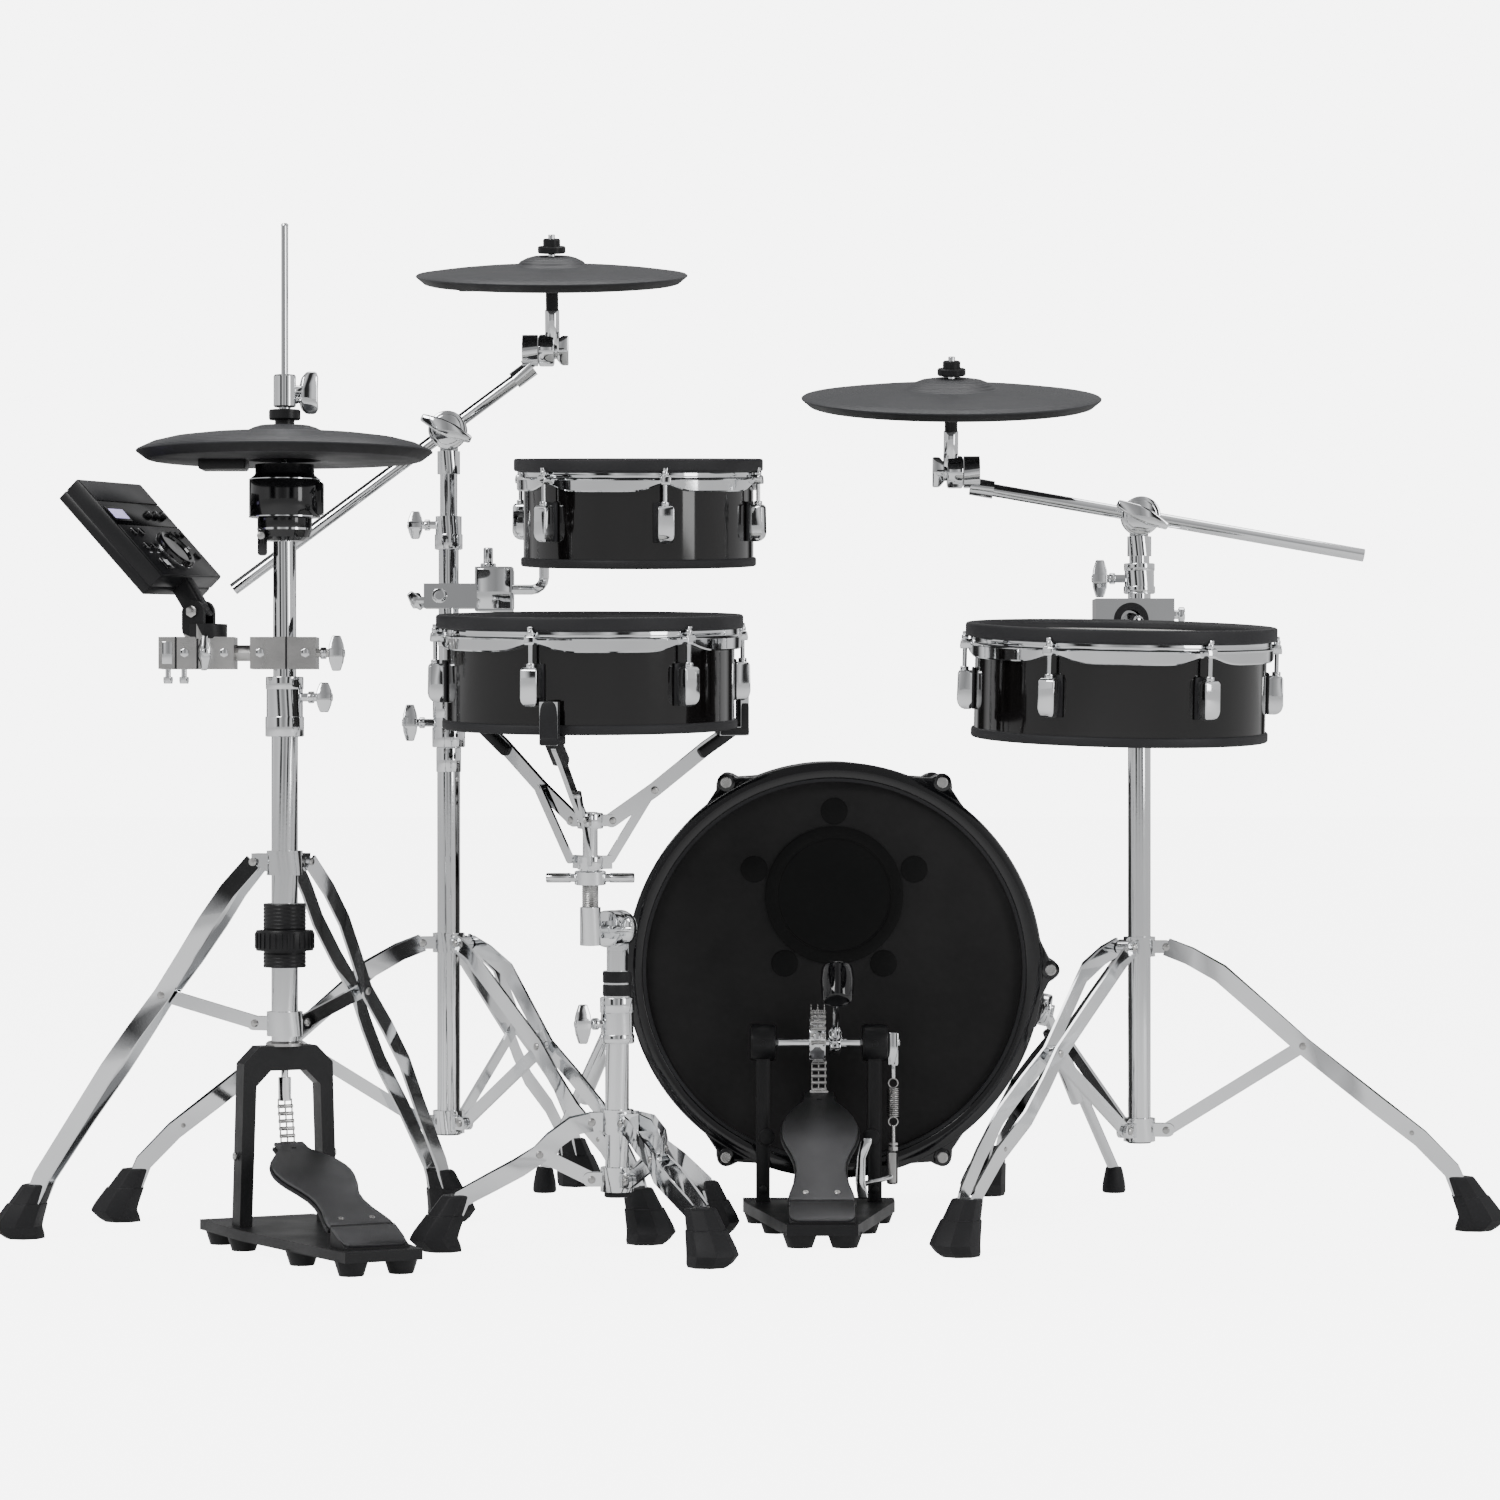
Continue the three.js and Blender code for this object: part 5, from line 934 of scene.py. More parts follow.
# ------------------------------------------------------------------ cymbal pads
# Hard rubber discs with fine turned grooves and a raised bell. A small box below holds the jack, and a
# black two-step cap holds each pad down on its tilter.
groove, groove_in, groove_out = group_of(
    "groove", [("Centre", vector, (0, 0, 0)), ("Turn", vector, (0, 0, 0)), ("Pitch", number, 1600.0),
               ("Depth", number, 0.3)],
    [("Edge", number), ("Normal", vector)],
)
groove_place = groove.nodes.new("ShaderNodeTexCoord").outputs["Object"]
groove_from = groove.nodes.new("ShaderNodeVectorMath")
groove_from.operation = "SUBTRACT"
groove.links.new(groove_place, groove_from.inputs[0])
groove.links.new(groove_in.outputs["Centre"], groove_from.inputs[1])
groove_cross = groove.nodes.new("ShaderNodeVectorMath")
groove_cross.operation = "CROSS_PRODUCT"
groove.links.new(groove_from.outputs[0], groove_cross.inputs[0])
groove.links.new(groove_in.outputs["Turn"], groove_cross.inputs[1])
groove_reach = groove.nodes.new("ShaderNodeVectorMath")
groove_reach.operation = "LENGTH"
groove.links.new(groove_cross.outputs[0], groove_reach.inputs[0])
groove_wave = wave_of(groove, groove_reach.outputs["Value"], groove_in.outputs["Pitch"])
relief(groove, groove_wave, groove_in.outputs["Depth"], groove_out.inputs["Normal"])
groove.links.new(groove_reach.outputs["Value"], groove_out.inputs["Edge"])


def grooved_rubber(name, middle, up):
    """Dark grey rubber with rings turned about an axis."""
    made = finish(name, (0.019, 0.020, 0.023), (0.030, 0.031, 0.035), 9.0, 0.4, 0.52, 900.0, 0.1,
                  gleam=0.45)
    rings = made.node_tree.nodes.new("ShaderNodeGroup")
    rings.node_tree = groove
    rings.inputs["Centre"].default_value = middle
    rings.inputs["Turn"].default_value = up
    normal = made.node_tree.nodes["Principled BSDF"].inputs["Normal"]
    made.node_tree.links.new(rings.outputs["Normal"], normal)
    return made


def dark_below(piece, up):
    """Gives the faces of a pad that look down its darker rubber."""
    piece.data.materials.append(foot_rubber)
    for face in piece.data.polygons:
        if face.normal.dot(up) < -0.3:
            face.material_index = 1


def cymbal_outline(radius, bell, undercut):
    """The outline of a pad from its underside up, as (radius, height) points."""
    edge = [(0.008, 0.012), (0.038, 0.012), (0.041, 0.0), (radius - undercut, 0.0),
            (radius - undercut + 0.004, 0.0012),
            (radius, 0.0088), (radius + 0.0003, 0.0100), (radius - 0.0012, 0.0112)]
    bow = [(radius - 0.0012 + (bell - radius) * share, 0.0112 + 0.0088 * share
            + 0.0022 * math.sin(math.pi * share))
           for share in (0.15, 0.3, 0.5, 0.7, 0.85)]
    dome = [(bell + 0.002, 0.0199), (bell - 0.003, 0.0214), (bell * 0.8 + 0.001, 0.0262),
            (bell * 0.62 + 0.001, 0.0299),
            (0.0205, 0.0318), (0.016, 0.032), (0.008, 0.032)]
    return edge + bow + dome


pad_turn = {"crash": 10, "ride": 10.5}
pad_sizes = {"crash": (0.1535, 0.043, 180), "ride": (0.166, 0.053, 90)}
post_side = {"crash": 1, "ride": -1}
pad_seat = {"crash": 0.075, "ride": 0.0725}
for stand in ("crash", "ride"):
    lean = math.radians(pad_turn[stand])
    up = Vector((0, -math.sin(lean), math.cos(lean)))
    place = upright(crown(stand + "_pad", up) - up * 0.032, up)
    radius, bell, box_angle = pad_sizes[stand]
    disc = turned(cymbal_outline(radius, bell, 0.013), 128, True)
    rubber = grooved_rubber(stand + "_pad_rubber", place.translation, up)
    fit(disc, stand + "_pad_disc", rubber, f"{stand}_pad_body", place, [stand + "_pad"])
    dark_below(disc, up)
    jack = box((0.060, 0.040, 0.0092), (0.075, 0, -0.0025), 0.0025)
    collar = rod((0.103, 0, -0.0022), (0.1085, 0, -0.0022), 0.0042, 24, 0.0006)
    jack_turn = Matrix.Rotation(math.radians(box_angle), 4, "Z")
    fit(joined([jack, collar]), stand + "_pad_jack_box", plastic, f"{stand}_pad_body",
        place @ jack_turn)

    body = f"{stand}_pad_tilter_body"
    sign = post_side[stand]
    tilt_turn = Matrix.Translation(pin(stand + "_pad_tilt")) @ Matrix.Rotation(lean, 4, "X")
    post_x = sign * (0.016 if stand == "crash" else 0.014)
    seat, bell_top = pad_seat[stand], pad_seat[stand] + 0.032
    half = rod((sign * 0.0004, 0, 0), (sign * 0.0182, 0, 0), 0.0182, 64, 0.0025)
    hub = rod((sign * 0.018, 0, 0), (sign * 0.022, 0, 0), 0.010, 48, 0.0015)
    post_base = box((0.0165, 0.0145, 0.028), (post_x, 0, 0.008), 0.003)
    sleeve = rod((post_x, 0, 0), (post_x, 0, 0.0465), 0.0082, 48, 0.0015)
    stem = rod((post_x, 0, 0.04), (post_x, 0, bell_top + 0.024), 0.0039, 24, 0.0006)
    wing = loft(4, [(-0.017, 0.004, 0.0022, 0.004, 0), (-0.010, 0.0068, 0.0032, 0.001, 0),
                    (0, 0.0078, 0.0056, 0, 0),
                    (0.010, 0.0068, 0.0032, 0.001, 0), (0.017, 0.004, 0.0022, 0.004, 0)])
    soften(wing, 0.0018, 3, 20)
    wing.data.transform(Matrix.Translation((sign * 0.0265, 0, 0))
                        @ Matrix.Rotation(0 if sign > 0 else math.pi, 4, "Z"))
    wing_hub = rod((sign * 0.020, 0, 0), (sign * 0.030, 0, 0), 0.0058, 32, 0.001)
    fit(joined([half, hub, post_base, sleeve, stem, wing, wing_hub]), stand + "_pad_tilter_metal", chrome,
        body,
        tilt_turn, [stand + "_pad_tilter"])
    seat_felt = rod((post_x, 0, 0.0455), (post_x, 0, seat + 0.0104), 0.0072, 32, 0.001)
    fit(seat_felt, stand + "_pad_seat", foot_rubber, body, tilt_turn)
    cap = turned([(0.0045, bell_top + 0.0028), (0.0145, bell_top + 0.0028), (0.0158, bell_top + 0.0042),
                  (0.0158, bell_top + 0.0098), (0.0146, bell_top + 0.0110), (0.0098, bell_top + 0.0112),
                  (0.0098, bell_top + 0.0180), (0.0086, bell_top + 0.0194), (0.0042, bell_top + 0.0194),
                  (0.0042, bell_top + 0.0180)], 64)
    cap.data.transform(Matrix.Translation((post_x, 0, 0)))
    fit(cap, stand + "_pad_cap", plastic, body, tilt_turn)


# ------------------------------------------------------------------ boom tilters
# A round chrome drum turns on a plate at the top of each tall stand. Its wing bolt clamps the tilt and
# the boom at once, and a dark seam splits the drum where its two halves meet.
tilter_face = 0.0004 + 0.027
for stand in ("crash", "ride"):
    centre = Matrix.Translation(pin(stand + "_boom_tilt"))
    body = f"{stand}_tilter_body"
    drum = rod((0, -0.0004, 0), (0, -tilter_face, 0), 0.0216, 64, 0.0028)
    cheek = rod((0, -tilter_face + 0.001, 0), (0, -tilter_face - 0.0022, 0), 0.0172, 64, 0.0016)
    bolt = rod((0, -tilter_face - 0.001, 0), (0, -tilter_face - 0.020, 0), 0.0068, 32, 0.0012)
    wing = loft(4, [(-0.031, 0.0042, 0.0026, 0, 0.002), (-0.020, 0.0062, 0.0034, 0, 0.001),
                    (-0.008, 0.0082, 0.0052, 0, 0),
                    (0.008, 0.0082, 0.0052, 0, 0), (0.020, 0.0062, 0.0034, 0, 0.001),
                    (0.031, 0.0042, 0.0026, 0, 0.002)])
    soften(wing, 0.0022, 3, 20)
    wing.data.transform(Matrix.Translation((0, -tilter_face - 0.0172, 0))
                        @ Matrix.Rotation(math.radians(115), 4, "Y"))
    wing_eye = rod((0, -tilter_face - 0.0196, 0), (0, -tilter_face - 0.0212, 0), 0.0042, 24, 0.0006)
    fit(joined([drum, cheek, bolt, wing, wing_eye]), stand + "_tilter_drum", chrome, body, centre,
        [stand + "_boom_tilter"])
    seam = rod((0, -0.0138, 0), (0, -0.0146, 0), 0.02175, 64)
    fit(seam, stand + "_tilter_seam", foot_rubber, body, centre)
    back_screw = rod((0, 0.0118, 0), (0, 0.0165, 0), 0.0085, 6, 0.0012)
    back_wing = box((0.007, 0.009, 0.024), (0, 0.019, 0), 0.0022)
    parent = joints[stand + "_boom_tilt"]["parent"]
    fit(joined([back_screw, back_wing]), stand + "_tilter_back_bolt", chrome, parent, centre)


# ------------------------------------------------------------------ tube clamps
# A wing screw closes each clamp. Its wings are thick at the middle and turn thin at their tips, and a
# small hexagonal bolt stands opposite.
def clamp_wing(name, place, reach, height, span, body):
    """Covers the CAD's flat wings with rounded ones, with a collar on the shank."""
    half = span / 2
    wings = loft(4, [(height - half - 0.0009, 0.0044, 0.0027, reach, 0),
                     (height - half / 2, 0.0076, 0.0040, reach, 0),
                     (height - half / 4, 0.0080, 0.0054, reach, 0),
                     (height + half / 4, 0.0080, 0.0054, reach, 0),
                     (height + half / 2, 0.0076, 0.0040, reach, 0),
                     (height + half + 0.0009, 0.0044, 0.0027, reach, 0)])
    soften(wings, 0.0013, 3, 14)
    collar = rod((reach - 0.017, 0, height), (reach - 0.0105, 0, height), 0.0064, 32, 0.001)
    hub = rod((reach + 0.005, 0, height), (reach + 0.0092, 0, height), 0.0044, 24, 0.001)
    fit(joined([wings, collar, hub]), name, chrome, body, place)


def turn_z(origin, angle):
    return Matrix.Translation((origin.x, origin.y, 0)) @ Matrix.Rotation(math.radians(angle), 4, "Z")


clamp_wing("crash_lower_wing", turn_z(stand_foot["crash"], 180), 0.044, 0.561, 0.040, root)
clamp_wing("crash_middle_wing", turn_z(stand_foot["crash"], 180), 0.038, 0.786, 0.030, "crash_middle_body")
clamp_wing("ride_lower_wing", turn_z(stand_foot["ride"], 180), 0.044, 0.721, 0.040, root)
clamp_wing("hihat_tube_wing", turn_z(stand_foot["hihat"], 0), 0.042, 0.586, 0.030, root)
clamp_wing("snare_tube_wing", turn_z(stand_foot["snare"], 200), 0.038, 0.240, 0.040, root)


def band(name, origin, radius, low, high, body, material=chrome, slot="chrome", edge=0.0012):
    """A smooth sleeve round a tube, where a clamp or a memory lock sits."""
    ring = turned([(radius - 0.0015, low), (radius, low), (radius, high), (radius - 0.0015, high)], 64,
                  True)
    place = Matrix.Translation((origin.x, origin.y, 0))
    fit(soften(ring, edge), name, material, body, place)


band("crash_clamp_collar", stand_foot["crash"], 0.0188, 0.5335, 0.556, root)
band("crash_clamp_neck", stand_foot["crash"], 0.0182, 0.5665, 0.5885, root)
band("crash_middle_collar", stand_foot["crash"], 0.0160, 0.7585, 0.7755, "crash_middle_body")
band("crash_lower_band", stand_foot["crash"], 0.0142, 0.505, 0.533, root)
band("ride_clamp_collar", stand_foot["ride"], 0.0176, 0.7045, 0.7125, root)
band("ride_clamp_neck", stand_foot["ride"], 0.0172, 0.7295, 0.7378, root)
band("snare_memory_lock", stand_foot["snare"], 0.0153, 0.2695, 0.2815, root, foot_rubber, "rubber")
band("snare_memory_ring", stand_foot["snare"], 0.0153, 0.2835, 0.2955, root, foot_rubber, "rubber")
band("snare_clamp_collar", stand_foot["snare"], 0.0186, 0.2195, 0.2285, root)
band("snare_clamp_neck", stand_foot["snare"], 0.0182, 0.2515, 0.2675, root)
for stand, low, radius in (("crash", 0.0925, 0.0142), ("ride", 0.0925, 0.0138), ("snare", 0.0565, 0.0137)):
    band(f"{stand}_tube_plug", stand_foot[stand], radius, low, low + 0.008, root, foot_rubber, "rubber")


# ------------------------------------------------------------------ hi-hat stand
# A clutch in chrome grips the pull rod above the pad. The controller below is a gloss black cup with a
# chrome ring at each step, and a threaded black adjuster rides on the lower tube.
hihat_base = stand_foot["hihat"]
hihat_axis = Matrix.Translation((hihat_base.x, hihat_base.y, 0))
pad_low = 0.838
hihat_outline = [(0.0050, pad_low + 0.020), (0.0360, pad_low + 0.020), (0.0385, pad_low), (0.144, pad_low),
                 (0.1465, pad_low + 0.0008), (0.1570, pad_low + 0.0086), (0.1572, pad_low + 0.0098),
                 (0.1558, pad_low + 0.0112),
                 (0.1400, pad_low + 0.0185), (0.1200, pad_low + 0.0234), (0.0950, pad_low + 0.0266),
                 (0.0700, pad_low + 0.0284),
                 (0.0480, pad_low + 0.0296), (0.0415, pad_low + 0.0310), (0.0340, pad_low + 0.0348),
                 (0.0270, pad_low + 0.0370),
                 (0.0150, pad_low + 0.0379), (0.0050, pad_low + 0.0380)]
hihat_rubber = grooved_rubber("hihat_pad_rubber", hihat_axis.translation, Vector((0, 0, 1)))
hihat_disc = turned(hihat_outline, 128, True)
fit(hihat_disc, "hihat_pad_disc", hihat_rubber, "hihat_pad_body", hihat_axis, ["hihat_pad"])
dark_below(hihat_disc, Vector((0, 0, 1)))
hihat_neck = turned([(0.0052, pad_low + 0.0375), (0.0104, pad_low + 0.0375), (0.0104, pad_low + 0.0435),
                     (0.0052, pad_low + 0.0435)], 48, True)
hihat_knob = turned([(0.0052, pad_low + 0.0430), (0.0158, pad_low + 0.0430), (0.0168, pad_low + 0.0442),
                     (0.0168, pad_low + 0.0528), (0.0158, pad_low + 0.0540), (0.0052, pad_low + 0.0540)],
                    64, True)
fit(joined([hihat_neck, hihat_knob]), "hihat_clutch_knob", plastic, "hihat_pad_body",
    hihat_axis)
clutch = turned([(0.0050, pad_low + 0.0535), (0.0062, pad_low + 0.0535), (0.0062, pad_low + 0.0560),
                 (0.0110, pad_low + 0.0568),
                 (0.0119, pad_low + 0.0580), (0.0119, 0.9275), (0.0108, 0.9292), (0.0050, 0.9292)], 64,
                True)
clutch_wing = loft(4, [(0.888, 0.0050, 0.0030, 0.0285, 0), (0.893, 0.0088, 0.0048, 0.0275, 0),
                       (0.903, 0.0098, 0.0062, 0.0255, 0),
                       (0.913, 0.0098, 0.0062, 0.0255, 0), (0.927, 0.0088, 0.0042, 0.0275, 0),
                       (0.9335, 0.0050, 0.0030, 0.0295, 0)])
soften(clutch_wing, 0.0022, 3, 20)
clutch_boss = rod((0.008, 0, 0.912), (0.024, 0, 0.912), 0.0062, 32, 0.0012)
clutch_bolts = [rod((0.0105, y, 0.902), (0.0155, y, 0.902), 0.0032, 24, 0.0006) for y in (-0.006, 0.006)]
clutch_arm = joined([clutch_wing, clutch_boss, *clutch_bolts])
clutch_arm.data.transform(Matrix.Rotation(math.radians(20), 4, "Z"))
fit(joined([clutch, clutch_arm]), "hihat_clutch", chrome, "hihat_pad_body", hihat_axis)
hihat_jack = box((0.050, 0.044, 0.0142), (-0.065, 0, pad_low - 0.0035), 0.003)
hihat_jack_hole = rod((-0.0895, 0, pad_low - 0.004), (-0.0912, 0, pad_low - 0.004), 0.0052, 24, 0.0006)
fit(joined([hihat_jack, hihat_jack_hole]), "hihat_pad_jack_box", plastic, "hihat_pad_body",
    hihat_axis)

cup = turned([(0.0050, 0.7522), (0.0205, 0.7522), (0.0262, 0.7560), (0.0290, 0.7640), (0.0290, 0.7760),
              (0.0370, 0.7776),
              (0.0378, 0.7790), (0.0378, 0.8165), (0.0368, 0.8185), (0.0320, 0.8225), (0.0314, 0.8240),
              (0.0314, 0.8335),
              (0.0050, 0.8335)], 96, True)
fit(cup, "hihat_controller_cup", gloss_plastic, "hihat_upper_body", hihat_axis,
    ["hihat_controller"])
for level, reach, height in ((0.7636, 0.0293, 0.0022), (0.7772, 0.0381, 0.0012), (0.8172, 0.0380, 0.0008)):
    ring = turned([(reach - 0.002, level), (reach, level), (reach, level + height),
                   (reach - 0.002, level + height)], 96, True)
    fit(ring, f"hihat_controller_ring_{round(level * 1000)}", chrome, "hihat_upper_body",
        hihat_axis)
cup_tab = box((0.010, 0.012, 0.036), (0.0372, -0.006, 0.797), 0.003)
cup_bolt = rod((-0.0225, -0.022, 0.757), (-0.0225, -0.0275, 0.757), 0.0042, 24, 0.0008)
cup_lug = box((0.010, 0.0105, 0.030), (-0.022, -0.0155, 0.751), 0.003)
fit(joined([cup_tab, cup_lug]), "hihat_controller_tabs", gloss_plastic, "hihat_upper_body",
    hihat_axis)
fit(cup_bolt, "hihat_controller_bolt", steel, "hihat_upper_body", hihat_axis)

adjuster_low, adjuster_high, thread_count = 0.299, 0.3672, 17
thread_step = (adjuster_high - adjuster_low) / thread_count
thread = []
for k in range(thread_count):
    foot_z = adjuster_low + k * thread_step
    thread += [(0.0222, foot_z), (0.0228, foot_z + thread_step * 0.45),
               (0.0222, foot_z + thread_step * 0.9)]
adjuster = turned([(0.0145, adjuster_low), *thread, (0.0145, adjuster_high)], 64, True)
fit(adjuster, "hihat_adjuster_thread", plastic, root, hihat_axis)
adjuster_nut = turned([(0.0222, 0.3168), (0.0300, 0.3168), (0.0306, 0.3180), (0.0306, 0.3372),
                       (0.0300, 0.3384), (0.0222, 0.3384)], 64, True)
ribs = around(box((0.002, 0.0018, 0.0168), (0.0309, 0, 0.3276), 0.0006), 28)
fit(joined([adjuster_nut, ribs]), "hihat_adjuster_nut", plastic, root, hihat_axis)
rod_tip = turned([(0.0037, 1.0872), (0.0042, 1.0878), (0.0038, 1.0896), (0.0022, 1.0905),
                  (0.0003, 1.0907)], 24)
fit(rod_tip, "hihat_rod_tip", chrome, "hihat_rod_body", hihat_axis)
band("hihat_clamp_collar", hihat_base, 0.0206, 0.5445, 0.5655, root)
band("hihat_clamp_neck", hihat_base, 0.0201, 0.5945, 0.6078, root)

hihat_turn = math.degrees(math.atan2(axis("hihat_pedal_press").y, axis("hihat_pedal_press").x)) - 180
hihat_pedal = turn_z(hihat_base, hihat_turn)
hihat_heel = pin("hihat_pedal_press")
hihat_board_turn = Matrix.Rotation(math.radians(hihat_turn), 4, "Z") @ Matrix.Rotation(math.radians(17.6),
                                                                                       4, "X")
footboard("hihat_footboard", hihat_heel, hihat_board_turn, "hihat_footboard_body", "hihat_footboard")
heel_plate("hihat_pedal", hihat_heel, hihat_pedal.to_3x3().to_4x4(), root)
# The double chain that joins the pull rod to the board's toe.
rod_corners = [frame["nodes"]["hihat_pull_rod"].matrix_world @ Vector(c)
               for c in frame["nodes"]["hihat_pull_rod"].bound_box]
chain_top = Vector((hihat_base.x, hihat_base.y, min(c.z for c in rod_corners) + 0.002))
chain_toe = hihat_heel + hihat_board_turn @ Vector((0, board_length + 0.001, 0.001))
link_count = max(2, round((chain_top - chain_toe).length / chain_pitch))
link_roller = rod((-0.0085, 0, 0), (0.0085, 0, 0), 0.0021, 16, 0.0003)
link_plates = [box((0.0011, 0.0026, 0.0088), (x, 0, 0.0037), 0.0003) for x in (-0.0078, -0.0004, 0.0070)]
hihat_link = joined([link_roller, *link_plates])
link_turn = Matrix.Rotation(math.radians(hihat_turn), 4, "Z")
hihat_chain = [copy_of(hihat_link, Matrix.Translation(chain_toe.lerp(chain_top, k / link_count))
                       @ link_turn)
               for k in range(link_count)]
bpy.data.objects.remove(hihat_link)
fit(joined(hihat_chain), "hihat_chain", steel, "hihat_rod_body")

arch_bolts = [rod((sign * 0.054, 0, 0.10), (sign * 0.0575, 0, 0.10), 0.0048, 6, 0.0006) for sign in (-1, 1)]
arch_cap = turned([(0.0088, 0.2155), (0.0200, 0.2155), (0.0200, 0.2185), (0.0175, 0.2205),
                   (0.0150, 0.2205), (0.0150, 0.2165), (0.0088, 0.2165)], 64, True)
fit(joined([*arch_bolts, arch_cap]), "hihat_arch_fittings", steel, root, hihat_pedal)


# ------------------------------------------------------------------ control module
# A slab in satin black plastic, in two shells with a seam between them. Its face has a lit header, a
# glossy band with a small screen and three knobs, round buttons, a large dial and a lit button.
module_tilt = pin("module_tilt")
module_turn = Matrix.Rotation(math.radians(-18.5), 4, "Z")
module_width, module_height = 0.154, 0.141
slab_place = (Matrix.Translation(module_tilt) @ module_turn @ Matrix.Translation((-0.0087, 0, 0.0383))
              @ Matrix.Rotation(math.radians(90), 4, "Z") @ Matrix.Rotation(math.radians(90 - 43.1), 4, "X")
              @ Matrix.Translation((0, module_height / 2, 0)) @ Matrix.Rotation(math.radians(1.8), 4, "Z"))
module = "module_body"
upper = box((module_width, module_height, 0.0175), (0, 0, -0.00895), 0.0018)
lower = box((module_width, module_height, 0.0118), (0, 0, -0.0241), 0.0018)
core = box((module_width - 0.0018, module_height - 0.0018, 0.028), (0, 0, -0.0150), 0.001)
fit(joined([upper, lower]), "module_case", plastic, module, slab_place, ["sound_module"])
fit(core, "module_seam", foot_rubber, module, slab_place)
glass_black = finish("screen_band_gloss", (0.002, 0.002, 0.003), (0.004, 0.004, 0.005), 5.0, 0.16, 0.24,
                     60.0, 0.0, gleam=0.12)
glow = finish("screen_glow", (0.48, 0.42, 0.78), (0.62, 0.56, 0.9), 160.0, 0.2, 0.3, 500.0, 0.0)
glow_pattern = glow.node_tree.nodes["Pattern"]
glow.node_tree.links.new(glow_pattern.outputs["Colour"],
                         glow.node_tree.nodes["Principled BSDF"].inputs["Emission Color"])
glow.node_tree.nodes["Principled BSDF"].inputs["Emission Strength"].default_value = 0.9
lit = finish("lit_white", (0.75, 0.76, 0.78), (0.95, 0.96, 0.98), 200.0, 0.3, 0.4, 500.0, 0.0)
header_paint = finish("header_plastic", (0.016, 0.016, 0.018), (0.024, 0.024, 0.027), 20.0, 0.34, 0.42,
                      900.0, 0.08)
face_paint = finish("face_satin_plastic", (0.009, 0.009, 0.010), (0.014, 0.014, 0.016), 20.0, 0.3, 0.4,
                    900.0, 0.08)
header = box((0.1505, 0.030, 0.0012), (0, 0.0535, 0.0001), 0.0004)
fit(header, "module_header", header_paint, module, slab_place)
screen_band = box((0.1505, 0.033, 0.0010), (0, 0.0205, -0.0001), 0.0004)
fit(screen_band, "module_screen_band", glass_black, module, slab_place)
face_plate = box((0.1505, 0.0725, 0.0012), (0, -0.0335, 0.0001), 0.0004)
fit(face_plate, "module_face_plate", face_paint, module, slab_place)
screen_frame = box((0.040, 0.021, 0.0009), (-0.051, 0.0195, 0.0005), 0.0004)
fit(screen_frame, "module_screen_frame", plastic, module, slab_place)
screen = box((0.034, 0.0135, 0.0006), (-0.051, 0.019, 0.0010), 0.0002)
fit(screen, "module_screen", glow, module, slab_place)


def knob_at(x, y, radius, height):
    """A knurled knob."""
    body = turned([(radius, 0), (radius * 0.94, height * 0.8), (radius * 0.84, height), (0.0002, height)],
                  40)
    rib = box((0.0007, 0.0009, height * 0.7), (radius * 0.97, 0, height * 0.4), 0.0002)
    knob = joined([body, around(rib, 20)])
    knob.data.transform(Matrix.Translation((x, y, 0.0004)))
    return knob


knobs = [knob_at(x, 0.0195, 0.0048, 0.0040) for x in (0.022, 0.040, 0.058)]
knobs += [knob_at(x, -0.0085, 0.0034, 0.0025) for x in (0.040, 0.0525, 0.065)]
knobs.append(knob_at(0.0585, -0.040, 0.0042, 0.0025))
fit(joined(knobs), "module_knobs", plastic, module, slab_place)
pointers = [box((0.0008, 0.0028, 0.0003), (x, 0.0212, 0.0045), 0.0001) for x in (0.022, 0.040, 0.058)]
level_mark = loft(3, [(0, 0.0045, 0.0022, 0.0545, -0.0285), (0.0004, 0.0045, 0.0022, 0.0545, -0.0285)])
level_mark.data.transform(Matrix.Translation((0, 0, 0.0007)))
fit(joined([*pointers, level_mark]), "module_marks", lit, module, slab_place)
buttons = []
for x, y in ((-0.0545, -0.0075), (-0.0365, -0.0075), (-0.0545, -0.0290), (-0.0365, -0.0290)):
    button = turned([(0.0052, 0.0004), (0.0052, 0.0018), (0.0044, 0.0026), (0.0030, 0.0022),
                     (0.0002, 0.0020)], 32)
    button.data.transform(Matrix.Translation((x, y, 0.0004)))
    buttons.append(button)
fit(joined(buttons), "module_round_buttons", gloss_plastic, module, slab_place)
bars = [box((0.0055, 0.0012, 0.0003), (x, -0.0375, 0.0009), 0.0001) for x in (-0.0545, -0.0365)]
fit(joined(bars), "module_button_marks", lit, module, slab_place)
square = box((0.0185, 0.0150, 0.0028), (-0.0430, -0.0545, 0.0018), 0.0008)
fit(square, "module_square_button", gloss_plastic, module, slab_place)
square_light = box((0.0095, 0.0075, 0.0005), (-0.0430, -0.0540, 0.0033), 0.0002)
fit(square_light, "module_square_light", lit, module, slab_place)
dial = turned([(0.0245, 0.0006), (0.0252, 0.0018), (0.0246, 0.0062), (0.0228, 0.0078), (0.0195, 0.0074),
               (0.0188, 0.0052),
               (0.0002, 0.0046)], 96)
dial.data.transform(Matrix.Translation((0.006, -0.0345, 0.0003)))
dial_ring = turned([(0.0256, 0.0006), (0.0256, 0.0016), (0.0249, 0.0022), (0.0249, 0.0006)], 96, True)
dial_ring.data.transform(Matrix.Translation((0.006, -0.0345, 0.0003)))
fit(dial, "module_dial", gloss_plastic, module, slab_place)
fit(dial_ring, "module_dial_ring", chrome, module, slab_place)
case_screws = [turned([(0.0028, -0.0302), (0.0028, -0.0306), (0.0012, -0.0306), (0.0002, -0.0303)], 20)
               for _ in range(4)]
